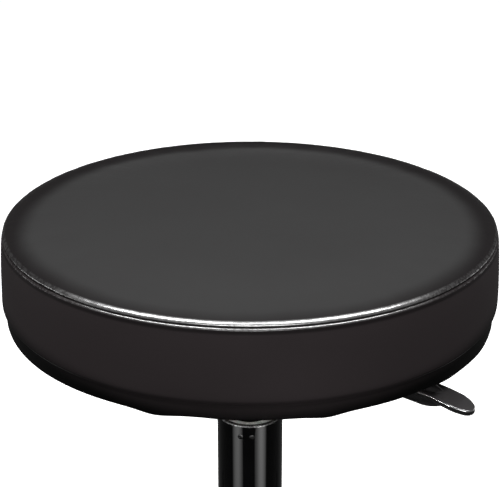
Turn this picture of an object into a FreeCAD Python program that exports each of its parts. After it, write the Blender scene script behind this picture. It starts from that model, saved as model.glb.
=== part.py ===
import FreeCAD, Part

import math
import os

import Sketcher

# Creeper seat: a round padded seat on a gas lift, with five swivel casters.
# The origin is on the floor under the column's axis, and +Z is up. Lengths are in millimetres.

Vector = FreeCAD.Vector
Turn = FreeCAD.Rotation
UP = Vector(0, 0, 1)
SIDEWAYS = Vector(1, 0, 0)

# Driving sizes: the sheet's alias, the value and what it measures.
SIZES = [
    # Casters
    ("wheel_radius", 30.0, "wheel over its tyre"),
    ("tyre_depth", 5.0, "tyre from tread to rim"),
    ("tyre_width", 22.0, "tyre across its tread"),
    ("tread_crown", 1.2, "rise of the tread at its middle"),
    ("wheel_hub_width", 24.0, "wheel across its hub"),
    ("wheel_hub_radius", 9.0, "outside of the wheel's hub"),
    ("wheel_web", 3.0, "disc between hub and rim"),
    ("rim_depth", 3.0, "rim ring under the tyre"),
    ("axle_radius", 4.0, "caster axle"),
    ("axle_head_radius", 6.5, "formed heads of the axle"),
    ("axle_head_height", 2.0, "formed heads of the axle"),
    ("fork_side_play", 0.5, "hub to cheek"),
    ("fork_wall", 2.5, "sheet of the fork"),
    ("fork_bend", 4.0, "outside bend between crown and cheek"),
    ("fork_toe_radius", 9.0, "cheek's round end at the axle"),
    ("fork_heel", 16.0, "crown behind the kingpin"),
    ("fork_nose", 17.0, "crown ahead of the kingpin"),
    ("fork_skirt", 9.0, "straight side below the crown"),
    ("caster_trail", 24.0, "axle ahead of the kingpin"),
    ("wheel_crown_gap", 5.0, "tread to crown"),
    ("kingpin_radius", 5.0, "kingpin through the crown"),
    ("rivet_radius", 8.0, "kingpin's head under the crown"),
    ("rivet_height", 2.6, "kingpin's head"),
    ("raceway_radius", 14.0, "cup over the crown"),
    ("raceway_height", 4.4, "cup over the crown"),
    ("raceway_neck", 10.0, "cup's seat on the crown"),
    ("flange_height", 3.0, "stem's flange under the leg"),
    ("stem_radius", 6.0, "caster stem"),
    ("stem_height", 18.0, "caster stem in its socket"),
    ("caster_circle", 215.0, "radius of the stems' circle"),
    # Base
    ("leg_root_height", 50.0, "leg at the hub"),
    ("leg_tip_height", 24.0, "leg at its tip"),
    ("leg_root_half", 17.0, "half width at the hub"),
    ("leg_tip_half", 15.0, "half width at the tip"),
    ("leg_shoulder", 18.0, "level top beside the hub"),
    ("leg_wall", 2.5, "pressed sheet of the leg"),
    ("leg_corner", 7.0, "round along the leg's top"),
    ("hub_radius", 31.0, "outside of the hub"),
    ("hub_height", 60.0, "hub tube"),
    ("hub_drop", 3.0, "hub below the legs"),
    ("hub_edge", 1.5, "bevel of the hub's ends"),
    ("socket_cap", 2.5, "roof over the stem's hole"),
    # Column
    ("column_radius", 25.0, "outside of the column"),
    ("column_wall", 2.0, "column tube"),
    ("column_length", 205.0, "column tube"),
    ("column_drop", 6.0, "column below the hub"),
    ("column_taper_length", 84.0, "tapered foot of the column"),
    ("column_taper_step", 2.1, "radius lost over the taper"),
    ("column_lip_radius", 17.0, "inside of the rolled foot"),
    ("rim_round", 0.9, "round of the column's rim"),
    ("snap_hole_radius", 2.0, "small holes under the rim"),
    ("snap_hole_drop", 10.0, "holes below the rim"),
    ("snap_hole_spread", 4.43, "half the distance between a pair"),
    ("floor_thickness", 4.0, "floor disc"),
    ("sleeve_length", 78.0, "guide sleeve"),
    ("sleeve_drop", 1.7, "sleeve's top below the rim"),
    ("sleeve_collar", 14.0, "collars of the sleeve"),
    # Thrust bearing and bump stop
    ("washer_thickness", 2.0, "thrust washers"),
    ("washer_radius", 13.0, "thrust washers"),
    ("ball_radius", 2.0, "bearing balls"),
    ("ball_circle", 9.5, "radius of the ring of balls"),
    ("cage_thickness", 2.4, "ball cage"),
    ("cage_rim", 3.0, "cage beyond the balls' middles"),
    ("bump_height", 10.0, "rubber bump stop"),
    ("bump_waist", 1.5, "bump stop's waist"),
    # Gas spring
    ("lift_up", 110.0, "travel above the rest height"),
    ("lift_down", 15.0, "travel below the rest height"),
    ("bump_gap", 1.0, "left over the bump stop"),
    ("tube_radius", 14.0, "pressure tube"),
    ("tube_wall", 1.6, "pressure tube"),
    ("tube_lip_radius", 8.0, "inside of the rolled end"),
    ("tube_lip_height", 2.0, "rolled end"),
    ("cone_length", 45.0, "tapered top of the tube"),
    ("cone_step", 1.1, "radius lost over the cone"),
    ("gland_height", 10.0, "rod guide"),
    ("seal_height", 4.0, "rod seal"),
    ("rod_radius", 5.0, "piston rod"),
    ("spigot_radius", 4.0, "reduced ends of the rod"),
    ("rod_tail", 6.0, "rod below the floor disc"),
    ("piston_height", 12.0, "piston"),
    ("piston_land", 4.0, "piston above and below its ring"),
    ("piston_groove_depth", 1.5, "ring's groove"),
    ("piston_gap", 2.0, "seal to piston at the top of the travel"),
    ("rod_head_radius", 6.0, "formed head over the piston"),
    ("rod_head_height", 2.2, "formed head over the piston"),
    ("clip_thickness", 1.4, "rod clip"),
    ("clip_radius", 7.5, "rod clip"),
    ("clip_groove_radius", 3.2, "rod at the clip's groove"),
    ("clip_mouth", 2.6, "half width of the clip's mouth"),
    ("valve_length", 38.0, "valve body"),
    ("button_radius", 4.0, "release button"),
    ("button_length", 17.8, "release button"),
    ("button_dome", 0.8, "round top of the button"),
    ("button_stroke", 2.8, "button's travel"),
    # Seat mechanism
    ("lift_rest_gap", 18.0, "taper socket above the column's rim"),
    ("socket_radius", 19.0, "outside of the taper socket"),
    ("socket_height", 42.0, "taper socket"),
    ("socket_edge", 1.2, "bevel of the socket's ends"),
    ("tube_stand", 2.0, "tube above its socket"),
    ("web_rise", 27.0, "bracket's web above the socket's foot"),
    ("bracket_half", 28.0, "half width of the bracket"),
    ("bracket_wall", 2.5, "bracket sheet"),
    ("bracket_bend", 5.0, "outside bend of the bracket"),
    ("bracket_back", 40.0, "bracket behind the column's axis"),
    ("bracket_front", 60.0, "bracket ahead of the column's axis"),
    ("bracket_slope", 14.0, "slanted cut of the walls' ends"),
    ("plate_rise", 18.9, "lever's axis to the plate"),
    ("plate_half", 82.5, "half side of the seat plate"),
    ("plate_thickness", 2.5, "seat plate"),
    ("plate_corner", 15.0, "plate's corner round"),
    ("bolt_inset", 17.5, "bolts inside the plate's sides"),
    ("bolt_radius", 3.0, "bolt shank"),
    ("bolt_hole_play", 0.5, "hole round a bolt"),
    ("bolt_length", 14.0, "shank above the washer"),
    ("bolt_head_radius", 5.7, "hexagon over its corners"),
    ("bolt_head_height", 4.0, "hexagon head"),
    ("bolt_washer_radius", 7.0, "plain washer"),
    ("bolt_washer_thickness", 1.2, "plain washer"),
    ("nut_flange_radius", 10.0, "tee nut's flange"),
    ("nut_flange_thickness", 1.5, "tee nut's flange"),
    ("nut_barrel_radius", 4.4, "tee nut's barrel"),
    ("nut_barrel_length", 9.0, "tee nut's barrel"),
    # Height lever
    ("lever_play", 0.3, "lever above the button"),
    ("lever_radius", 4.5, "lever rod"),
    ("lever_pivot", 32.0, "pivot from the column's axis"),
    ("lever_tail", 6.0, "rod beyond the button"),
    ("lever_end", 136.0, "rod's end inside the paddle"),
    ("pivot_radius", 3.0, "pivot pin"),
    ("pivot_sleeve_radius", 7.0, "cross sleeve"),
    ("pivot_side_play", 0.5, "sleeve to bracket wall"),
    ("pivot_head_radius", 5.0, "pin's formed heads"),
    ("pivot_head_height", 1.5, "pin's formed heads"),
    ("paddle_start", 92.0, "paddle's socket from the column's axis"),
    ("paddle_socket_end", 158.0, "where the socket starts to narrow"),
    ("paddle_taper", 18.0, "from there to where it has run into the blade"),
    ("paddle_reach", 196.0, "tip from the column's axis"),
    ("paddle_socket_radius", 8.6, "socket"),
    ("paddle_merge_radius", 2.4, "socket's end under the blade"),
    ("blade_start", 128.0, "blade's root from the column's axis"),
    ("blade_half", 9.6, "half width of the blade"),
    ("tip_run", 12.0, "where the sides turn in, before the round tip"),
    ("tip_fall", 3.5, "how far the sides turn in there"),
    ("blade_thickness", 4.8, "blade"),
    ("blade_top", 5.4, "blade's top above the rod's axis"),
    ("blade_straight", 160.0, "where the blade starts to droop"),
    ("blade_droop", 4.6, "drop of the tip"),
    ("blade_edge", 1.4, "round of the blade's edges"),
    # Seat pad
    ("board_radius", 176.5, "plywood seat board"),
    ("board_thickness", 12.7, "plywood seat board"),
    ("seam_rise", 63.3, "seam above the board's underside"),
    ("crown_rise", 10.5, "middle of the seat above the seam"),
    ("lip_overhang", 1.2, "rolled edge of the top panel beyond the board"),
    ("lip_rise", 1.2, "rolled edge above the seam"),
    ("lip_round", 0.35, "underside of the rolled edge"),
    ("seam_inset", 1.3, "seam's valley inside the rolled edge"),
    ("seam_allowance", 1.4, "cover's edges inside the seam"),
    ("shoulder_inset", 10.7, "shoulder inside the rolled edge"),
    ("shoulder_rise", 6.1, "shoulder above the seam"),
    ("shoulder_bulge", 1.4, "fullness between shoulder and edge"),
    ("vinyl", 1.2, "cover's sheet"),
    ("ridge_step", 0.9, "band's fold beyond the rolled edge"),
    ("ridge_drop", 2.8, "band's fold below the seam"),
    ("ridge_bulge", 0.8, "fullness of the fold"),
    ("belly_overhang", 4.3, "widest part of the band beyond the board"),
    ("belly_rise", 1.0, "widest part above the board"),
    ("side_bulge", 0.8, "fullness of the band"),
    ("tuck_drop", 2.2, "band meets the board's edge below its top"),
    ("tuck_bulge", 0.7, "round of the band over the board's edge"),
    ("hem_round", 1.5, "band's turn under the board"),
    ("hem_width", 30.0, "hem under the board"),
    # Fits
    ("running_play", 0.08, "shafts that turn or slide"),
    ("seat_fit", 0.05, "pieces held in each other"),
    ("soft_play", 0.3, "round the foam"),
    ("overrun", 5.0, "cuts past a face"),
]

LEG_COUNT = 5
LEG_TURN = 360 / LEG_COUNT
FIRST_LEG_ANGLE = 90
LEVER_ANGLE = -40.6
SNAP_PAIRS = 3
SNAP_TURN = -6.7
BALL_COUNT = 8
HEX_SIDES = 6
QUARTER_SHARE = 1 - math.sqrt(0.5)
DOME = "dome"
NEARLY_ZERO = 1e-6
RACEWAY_STEP_SHARE = 0.45
SLEEVE_BEVEL_SHARE = 0.15
SEAL_GROOVE_SHARE = 0.3

document = FreeCAD.newDocument("CreeperSeat")
sheet = document.addObject("Spreadsheet::Sheet", "Sizes")


class Size:
    """A length or a factor: its value, and the sheet expression that gives it."""

    def __init__(self, value, text):
        self.value = float(value)
        self.text = text

    def __add__(self, other):
        other = as_size(other)
        return Size(self.value + other.value, "({} + {})".format(self.text, other.text))

    def __sub__(self, other):
        other = as_size(other)
        return Size(self.value - other.value, "({} - {})".format(self.text, other.text))

    def __mul__(self, other):
        other = as_size(other)
        return Size(self.value * other.value, "({} * {})".format(self.text, other.text))

    def __truediv__(self, other):
        other = as_size(other)
        return Size(self.value / other.value, "({} / {})".format(self.text, other.text))

    def root(self):
        return Size(math.sqrt(self.value), "sqrt({})".format(self.text))

    def __neg__(self):
        return Size(-self.value, "(0 - {})".format(self.text))

    __radd__ = __add__
    __rmul__ = __mul__


def as_size(amount):
    if isinstance(amount, Size):
        return amount
    return Size(amount, repr(float(amount)))


def cosine(degrees):
    return Size(math.cos(math.radians(degrees)), "cos({!r})".format(float(degrees)))


def sine(degrees):
    return Size(math.sin(math.radians(degrees)), "sin({!r})".format(float(degrees)))


class Sizes:
    """The sheet's cells by their aliases."""

    def __getattr__(self, alias):
        return Size(sheet.get(alias), "Sizes." + alias)


def fill_sheet():
    for row, (alias, value, meaning) in enumerate(SIZES, start=1):
        sheet.set("A{}".format(row), alias)
        sheet.set("B{}".format(row), str(value))
        sheet.set("C{}".format(row), meaning)
        sheet.setAlias("B{}".format(row), alias)
    document.recompute()


fill_sheet()
size = Sizes()


# Sketches

def new_body(label):
    body = document.addObject("PartDesign::Body", label)
    body.Label = label
    return body


def origin_feature(body, role):
    return [feature for feature in body.Origin.OriginFeatures if feature.Role == role][0]


def new_sketch(body, name, plane):
    sketch = body.newObject("Sketcher::SketchObject", name)
    sketch.AttachmentSupport = [(origin_feature(body, plane), "")]
    sketch.MapMode = "FlatFace"
    return sketch


def bind(sketch, index, amount):
    sketch.setExpression("Constraints[{}]".format(index), amount.text)


def hold(sketch, geometry, point, kind, amount):
    """Holds one coordinate of a sketch's point. DistanceX is across, and DistanceY along."""
    amount = as_size(amount)
    if amount.value == 0:
        axis = {"DistanceX": -2, "DistanceY": -1}[kind]
        sketch.addConstraint(Sketcher.Constraint("PointOnObject", geometry, point, axis))
    else:
        limit = Sketcher.Constraint(kind, -1, 1, geometry, point, amount.value)
        bind(sketch, sketch.addConstraint(limit), amount)


def locate(sketch, geometry, point, across, along):
    hold(sketch, geometry, point, "DistanceX", across)
    hold(sketch, geometry, point, "DistanceY", along)


def bow_centre(start, end, rise):
    """The centre of an arc whose middle stands that far to the right of the way from start
    to end, or to the left where the rise is negative."""
    across = as_size(end[0]) - start[0]
    along = as_size(end[1]) - start[1]
    squared = across * across + along * along
    offset = (rise * rise - squared / 4) / (rise * 2 * squared.root())
    return ((as_size(start[0]) + end[0]) / 2 + along * offset,
            (as_size(start[1]) + end[1]) / 2 - across * offset)


def easing_rise(run, fall):
    """The rise of an arc that falls so far over its run, and is level at one end of it."""
    chord = (run * run + fall * fall).root()
    return chord * (chord - run) / (fall * 2)


def dome_centre(start, end):
    """The centre of an arc that is level where it meets the sketch's upright axis."""
    top, side = (end, start) if as_size(end[0]).value == 0 else (start, end)
    fall = as_size(top[1]) - side[1]
    radius = (as_size(side[0]) * side[0] + fall * fall) / (fall * 2)
    return as_size(0), as_size(top[1]) - radius


def add_arc(sketch, start, end, centre, anticlockwise):
    """An arc, and its own ends in the order of the way. It is drawn anticlockwise."""
    first, last = (start, end) if anticlockwise else (end, start)
    begin = math.atan2(first.y - centre.y, first.x - centre.x)
    finish = math.atan2(last.y - centre.y, last.x - centre.x)
    if finish < begin:
        finish += 2 * math.pi
    circle = Part.Circle(centre, UP, centre.distanceToPoint(start))
    sketch.addGeometry(Part.ArcOfCircle(circle, begin, finish), False)
    return (1, 2) if anticlockwise else (2, 1)


def add_outline(sketch, corners):
    """A closed outline. A corner is (across, along), or (across, along, rise) where an arc
    reaches it. The arc's middle stands that far to the right of the straight way. Where the
    rise is DOME, the arc is level at the upright axis, where it starts or ends."""
    places = [Vector(as_size(corner[0]).value, as_size(corner[1]).value, 0) for corner in corners]
    first = sketch.GeometryCount
    count = len(corners)
    ends = []
    centres = {}
    for index in range(count):
        following = (index + 1) % count
        start, end = places[index], places[following]
        if len(corners[following]) < 3:
            sketch.addGeometry(Part.LineSegment(start, end), False)
            ends.append((1, 2))
            continue
        rise = corners[following][2]
        if rise is DOME:
            centre = dome_centre(corners[index], corners[following])
            level = False
            anticlockwise = end.x < start.x
        else:
            centre = bow_centre(corners[index], corners[following], rise)
            level = abs(end.x - start.x) > abs(end.y - start.y)
            anticlockwise = rise.value > 0
        middle = Vector(centre[0].value, centre[1].value, 0)
        ends.append(add_arc(sketch, start, end, middle, anticlockwise))
        centres[index] = ("DistanceY", centre[1]) if level else ("DistanceX", centre[0])
    for index in range(count):
        following = (index + 1) % count
        join = Sketcher.Constraint("Coincident", first + index, ends[index][1],
                                   first + following, ends[following][0])
        sketch.addConstraint(join)
    for index, corner in enumerate(corners):
        locate(sketch, first + index, ends[index][0], corner[0], corner[1])
    for index, (kind, amount) in centres.items():
        hold(sketch, first + index, 3, kind, amount)


def add_circle(sketch, across, along, radius):
    centre = Vector(as_size(across).value, as_size(along).value, 0)
    geometry = sketch.addGeometry(Part.Circle(centre, UP, radius.value), False)
    locate(sketch, geometry, 3, across, along)
    limit = Sketcher.Constraint("Radius", geometry, radius.value)
    bind(sketch, sketch.addConstraint(limit), radius)


# Features

def add_revolution(body, name, corners, axis="V_Axis", plane="XZ_Plane"):
    sketch = new_sketch(body, name + "_profile", plane)
    add_outline(sketch, corners)
    feature = body.newObject("PartDesign::Revolution", name)
    feature.Profile = sketch
    feature.ReferenceAxis = (sketch, [axis])
    feature.Angle = 360
    document.recompute()
    return feature


def add_pad(body, name, sketch, length, middle=False, backward=False):
    feature = body.newObject("PartDesign::Pad", name)
    feature.Profile = sketch
    feature.Length = length.value
    feature.setExpression("Length", length.text)
    feature.Midplane = middle
    feature.Reversed = backward
    document.recompute()
    return feature


def add_pocket(body, name, sketch, length, middle=False, backward=False):
    """A pocket, which has to take something away."""
    before = body.Shape.Volume
    feature = body.newObject("PartDesign::Pocket", name)
    feature.Profile = sketch
    feature.Length = length.value
    feature.setExpression("Length", length.text)
    feature.Midplane = middle
    feature.Reversed = backward
    document.recompute()
    if not body.Shape.Volume < before:
        raise RuntimeError("{} of {} cuts nothing".format(name, body.Label))
    return feature


def add_polar_copies(body, name, feature, count):
    pattern = body.newObject("PartDesign::PolarPattern", name)
    pattern.Originals = [feature]
    pattern.Axis = (origin_feature(body, "Z_Axis"), [""])
    pattern.Angle = 360
    pattern.Occurrences = count
    body.Tip = pattern
    document.recompute()
    return pattern


def edge_names(feature, chosen):
    """The names of a feature's edges that pass a test."""
    edges = enumerate(feature.Shape.Edges, start=1)
    return ["Edge{}".format(number) for number, edge in edges if chosen(edge)]


def add_fillet(body, name, feature, chosen, radius):
    fillet = body.newObject("PartDesign::Fillet", name)
    fillet.Base = (feature, edge_names(feature, chosen))
    fillet.Radius = radius.value
    fillet.setExpression("Radius", radius.text)
    document.recompute()
    return fillet


def is_upright(edge):
    box = edge.BoundBox
    return box.XLength < NEARLY_ZERO and box.YLength < NEARLY_ZERO and box.ZLength > 0


def place(body, across=0, aside=0, height=0, turn=None):
    """Puts a body in the seat's frame, with each coordinate bound to the sheet."""
    amounts = [as_size(amount) for amount in (across, aside, height)]
    base = Vector(*[amount.value for amount in amounts])
    body.Placement = FreeCAD.Placement(base, turn or Turn())
    for axis, amount in zip("xyz", amounts):
        body.setExpression("Placement.Base." + axis, amount.text)


def group(label, members):
    """One sub-part of several separate solids."""
    compound = document.addObject("Part::Compound", label)
    compound.Label = label
    compound.Links = members
    document.recompute()
    return compound


# Heights, from the floor up

crown_under = size.wheel_radius * 2 + size.wheel_crown_gap
crown_top = crown_under + size.fork_wall
flange_under = crown_top + size.running_play + size.raceway_height
leg_under = flange_under + size.flange_height
hub_foot = leg_under - size.hub_drop
column_foot = hub_foot - size.column_drop
column_top = column_foot + size.column_length
floor_under = column_foot + size.column_wall
floor_top = floor_under + size.floor_thickness
balls_under = floor_top + size.washer_thickness
balls_top = balls_under + size.ball_radius * 2
bump_under = balls_top + size.washer_thickness
bump_top = bump_under + size.bump_height
tube_foot = bump_top + size.lift_down + size.bump_gap
gland_foot = tube_foot + size.tube_lip_height
seal_foot = gland_foot + size.gland_height
piston_foot = seal_foot + size.seal_height + size.lift_up + size.piston_gap
socket_foot = column_top + size.lift_rest_gap
socket_top = socket_foot + size.socket_height
tube_top = socket_top + size.tube_stand
lever_height = tube_top + size.button_stroke + size.lever_play + size.lever_radius
web_under = socket_foot + size.web_rise
plate_under = lever_height + size.plate_rise
board_under = plate_under + size.plate_thickness
board_top = board_under + size.board_thickness
seam_height = board_under + size.seam_rise

lip_radius = size.board_radius + size.lip_overhang
belly_radius = size.board_radius + size.belly_overhang

LEVER_TURN = Turn(UP, LEVER_ANGLE)
parts = []


def keep(part):
    parts.append(part)
    return part


# Seat pad

def make_cover_top_panel():
    """The top of the vinyl cover, rolled over at its edge and drawn into the seam."""
    body = new_body("cover_top_panel")
    edge = lip_radius - size.seam_inset
    inner_edge = edge - size.seam_allowance
    shoulder = lip_radius - size.shoulder_inset
    add_revolution(body, "panel", [
        (0, size.crown_rise - size.vinyl),
        (shoulder, size.shoulder_rise - size.vinyl, DOME),
        (edge, size.lip_rise + size.lip_round, -size.shoulder_bulge),
        (inner_edge, size.seat_fit),
        (edge, size.seat_fit),
        (lip_radius, size.lip_rise, size.lip_round),
        (shoulder, size.shoulder_rise, size.shoulder_bulge),
        (0, size.crown_rise, DOME),
    ])
    place(body, height=seam_height, turn=LEVER_TURN)
    return keep(body)


def make_cover_side_band():
    """The side of the cover, folded out below the seam and turned under the board."""
    body = new_body("cover_side_band")
    board_foot = size.vinyl
    board_head = board_foot + size.board_thickness
    seam = board_foot + size.seam_rise
    edge = lip_radius - size.seam_inset
    inner_edge = edge - size.seam_allowance
    ridge = lip_radius + size.ridge_step
    inner_wrap = size.board_radius + size.seat_fit
    outer_wrap = inner_wrap + size.vinyl
    hem_edge = size.board_radius - size.hem_width
    tuck = board_head - size.tuck_drop
    belly = board_head + size.belly_rise
    add_revolution(body, "band", [
        (hem_edge, 0),
        (outer_wrap - size.hem_round, 0),
        (outer_wrap, size.hem_round),
        (outer_wrap, tuck),
        (belly_radius, belly, -size.tuck_bulge),
        (ridge, seam - size.ridge_drop, size.side_bulge),
        (edge, seam, size.ridge_bulge),
        (inner_edge, seam),
        (inner_edge, seam - size.vinyl),
        (ridge - size.vinyl, seam - size.ridge_drop),
        (belly_radius - size.vinyl, belly, -size.side_bulge),
        (inner_wrap, tuck),
        (inner_wrap, board_foot),
        (hem_edge, board_foot),
    ])
    place(body, height=board_under - size.vinyl, turn=LEVER_TURN)
    return keep(body)


def bolt_places():
    half = size.plate_half - size.bolt_inset
    return [(half, half), (-half, half), (-half, -half), (half, -half)]


def make_foam_pad():
    """The foam, crowned on top and drawn in at the seam, hollowed over the tee nuts."""
    body = new_body("foam_pad")
    seam = size.seam_rise - size.board_thickness
    clear = size.vinyl + size.soft_play
    edge = lip_radius - size.seam_inset
    waist = edge - size.seam_allowance - size.soft_play
    shoulder = lip_radius - size.shoulder_inset
    add_revolution(body, "pad", [
        (0, 0),
        (size.board_radius - size.soft_play, 0),
        (belly_radius - clear, size.belly_rise + size.soft_play),
        (lip_radius + size.ridge_step - clear, seam - size.ridge_drop, size.side_bulge),
        (waist, seam - clear),
        (waist, seam + size.soft_play),
        (edge - size.soft_play, seam + size.lip_rise + size.soft_play),
        (shoulder, seam + size.shoulder_rise - clear, size.shoulder_bulge),
        (0, seam + size.crown_rise - clear, DOME),
    ])
    sketch = new_sketch(body, "nut_hollows", "XY_Plane")
    for across, along in bolt_places():
        add_circle(sketch, across, along, size.nut_flange_radius + size.soft_play)
    add_pocket(body, "hollows", sketch, size.nut_flange_thickness + size.soft_play, backward=True)
    place(body, height=board_top, turn=LEVER_TURN)
    return keep(body)


def make_seat_board():
    """The plywood board, with a hole for each tee nut."""
    body = new_body("seat_board")
    sketch = new_sketch(body, "outline", "XY_Plane")
    add_circle(sketch, 0, 0, size.board_radius)
    for across, along in bolt_places():
        add_circle(sketch, across, along, size.nut_barrel_radius + size.seat_fit)
    add_pad(body, "board", sketch, size.board_thickness)
    place(body, height=board_under, turn=LEVER_TURN)
    return keep(body)


def at_bolts(label, make, height):
    """Four separate solids of one kind, one at each bolt."""
    members = []
    for number, (across, along) in enumerate(bolt_places(), start=1):
        body = make("{}_{}".format(label, number))
        cos, sin = cosine(LEVER_ANGLE), sine(LEVER_ANGLE)
        place(body, across * cos - along * sin, across * sin + along * cos, height, LEVER_TURN)
        members.append(body)
    return keep(group(label, members))


def make_tee_nut(label):
    body = new_body(label)
    bore = size.bolt_radius + size.seat_fit
    flange_foot = size.nut_barrel_length
    flange_top = flange_foot + size.nut_flange_thickness
    add_revolution(body, "nut", [
        (bore, 0),
        (size.nut_barrel_radius, 0),
        (size.nut_barrel_radius, flange_foot),
        (size.nut_flange_radius, flange_foot),
        (size.nut_flange_radius, flange_top),
        (bore, flange_top),
    ])
    return body


def make_plate_washer(label):
    body = new_body(label)
    bore = size.bolt_radius + size.bolt_hole_play
    add_revolution(body, "washer", [
        (bore, 0),
        (size.bolt_washer_radius, 0),
        (size.bolt_washer_radius, size.bolt_washer_thickness),
        (bore, size.bolt_washer_thickness),
    ])
    return body


def make_plate_bolt(label):
    body = new_body(label)
    sketch = new_sketch(body, "hexagon", "XY_Plane")
    add_outline(sketch, [
        (size.bolt_head_radius * cosine(360 * side / HEX_SIDES),
         size.bolt_head_radius * sine(360 * side / HEX_SIDES))
        for side in range(HEX_SIDES)
    ])
    add_pad(body, "head", sketch, size.bolt_head_height)
    shank = new_sketch(body, "shank_circle", "XY_Plane")
    add_circle(shank, 0, 0, size.bolt_radius)
    add_pad(body, "shank", shank, size.bolt_head_height + size.bolt_length)
    return body


# Seat mechanism

def make_seat_plate():
    """The pressed plate between the bracket and the board."""
    body = new_body("seat_plate")
    half = size.plate_half
    sketch = new_sketch(body, "outline", "XY_Plane")
    add_outline(sketch, [(half, half), (-half, half), (-half, -half), (half, -half)])
    for across, along in bolt_places():
        add_circle(sketch, across, along, size.bolt_radius + size.bolt_hole_play)
    plate = add_pad(body, "plate", sketch, size.plate_thickness)

    def corner(edge):
        return is_upright(edge) and edge.Curve.TypeId == "Part::GeomLine" \
            and abs(abs(edge.CenterOfMass.x) - half.value) < NEARLY_ZERO
    add_fillet(body, "corners", plate, corner, size.plate_corner)
    place(body, height=plate_under, turn=LEVER_TURN)
    return keep(body)


def make_lever_bracket():
    """The folded channel under the plate, open at both ends, that carries socket and lever."""
    body = new_body("lever_bracket")
    half = size.bracket_half
    inner = half - size.bracket_wall
    wall = size.bracket_wall
    bend = size.bracket_bend
    inner_bend = bend - wall
    depth = plate_under - web_under
    length = size.bracket_back + size.bracket_front
    sketch = new_sketch(body, "section", "YZ_Plane")
    add_outline(sketch, [
        (-half, depth),
        (-half, bend),
        (-half + bend, 0, bend * QUARTER_SHARE),
        (half - bend, 0),
        (half, bend, bend * QUARTER_SHARE),
        (half, depth),
        (inner, depth),
        (inner, bend),
        (inner - inner_bend, wall, -inner_bend * QUARTER_SHARE),
        (-inner + inner_bend, wall),
        (-inner, bend, -inner_bend * QUARTER_SHARE),
        (-inner, depth),
    ])
    add_pad(body, "channel", sketch, length)
    hole = new_sketch(body, "socket_circle", "XY_Plane")
    add_circle(hole, size.bracket_back, 0, size.socket_radius + size.seat_fit)
    add_pocket(body, "socket_hole", hole, size.bracket_bend, backward=True)
    pin = new_sketch(body, "pin_circle", "XZ_Plane")
    add_circle(pin, size.bracket_back + size.lever_pivot, lever_height - web_under,
               size.pivot_radius + size.seat_fit)
    add_pocket(body, "pin_holes", pin, half * 2 + size.overrun, middle=True)
    ends = new_sketch(body, "slanted_ends", "XZ_Plane")
    slope = size.bracket_slope
    add_outline(ends, [(0, 0), (slope, 0), (0, depth / 2)])
    add_outline(ends, [(length, 0), (length, depth / 2), (length - slope, 0)])
    add_pocket(body, "slants", ends, half * 2 + size.overrun, middle=True)
    place(body, -size.bracket_back * cosine(LEVER_ANGLE), -size.bracket_back * sine(LEVER_ANGLE),
          web_under, LEVER_TURN)
    return keep(body)


def cone_radius(height):
    """The outside of the tube's tapered top at a height of the seat."""
    return size.tube_radius - size.cone_step * (height - (tube_top - size.cone_length)) \
        / size.cone_length


def make_taper_socket():
    """The socket that grips the tube's cone, welded through the bracket's web."""
    body = new_body("taper_socket")
    bevel = size.socket_edge
    foot = cone_radius(socket_foot) + size.seat_fit
    head = cone_radius(socket_top) + size.seat_fit
    add_revolution(body, "socket", [
        (foot, 0),
        (size.socket_radius - bevel, 0),
        (size.socket_radius, bevel),
        (size.socket_radius, size.socket_height - bevel),
        (size.socket_radius - bevel, size.socket_height),
        (head, size.socket_height),
    ])
    place(body, height=socket_foot)
    return keep(body)


def make_lever_pivot_pin():
    """The pin across the bracket, with a formed head at each end."""
    body = new_body("lever_pivot_pin")
    reach = size.bracket_half + size.seat_fit
    end = reach + size.pivot_head_height
    add_revolution(body, "pin", [
        (0, -end),
        (size.pivot_head_radius, -end),
        (size.pivot_head_radius, -reach),
        (size.pivot_radius, -reach),
        (size.pivot_radius, reach),
        (size.pivot_head_radius, reach),
        (size.pivot_head_radius, end),
        (0, end),
    ])
    place(body, size.lever_pivot * cosine(LEVER_ANGLE), size.lever_pivot * sine(LEVER_ANGLE),
          lever_height, LEVER_TURN * Turn(SIDEWAYS, 90))
    return keep(body)


# Height lever

def make_lever_rod():
    """The rod over the release button, with the cross sleeve that it rocks on."""
    body = new_body("lever_rod")
    section = new_sketch(body, "rod_circle", "YZ_Plane")
    add_circle(section, 0, 0, size.lever_radius)
    add_pad(body, "rod", section, size.lever_tail + size.lever_end)
    sleeve = new_sketch(body, "sleeve_circle", "XZ_Plane")
    across = size.lever_tail + size.lever_pivot
    add_circle(sleeve, across, 0, size.pivot_sleeve_radius)
    width = (size.bracket_half - size.bracket_wall - size.pivot_side_play) * 2
    add_pad(body, "sleeve", sleeve, width, middle=True)
    bore = new_sketch(body, "bore_circle", "XZ_Plane")
    add_circle(bore, across, 0, size.pivot_radius + size.running_play)
    add_pocket(body, "bore", bore, width + size.overrun, middle=True)
    place(body, -size.lever_tail * cosine(LEVER_ANGLE), -size.lever_tail * sine(LEVER_ANGLE),
          lever_height, LEVER_TURN)
    return keep(body)


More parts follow.
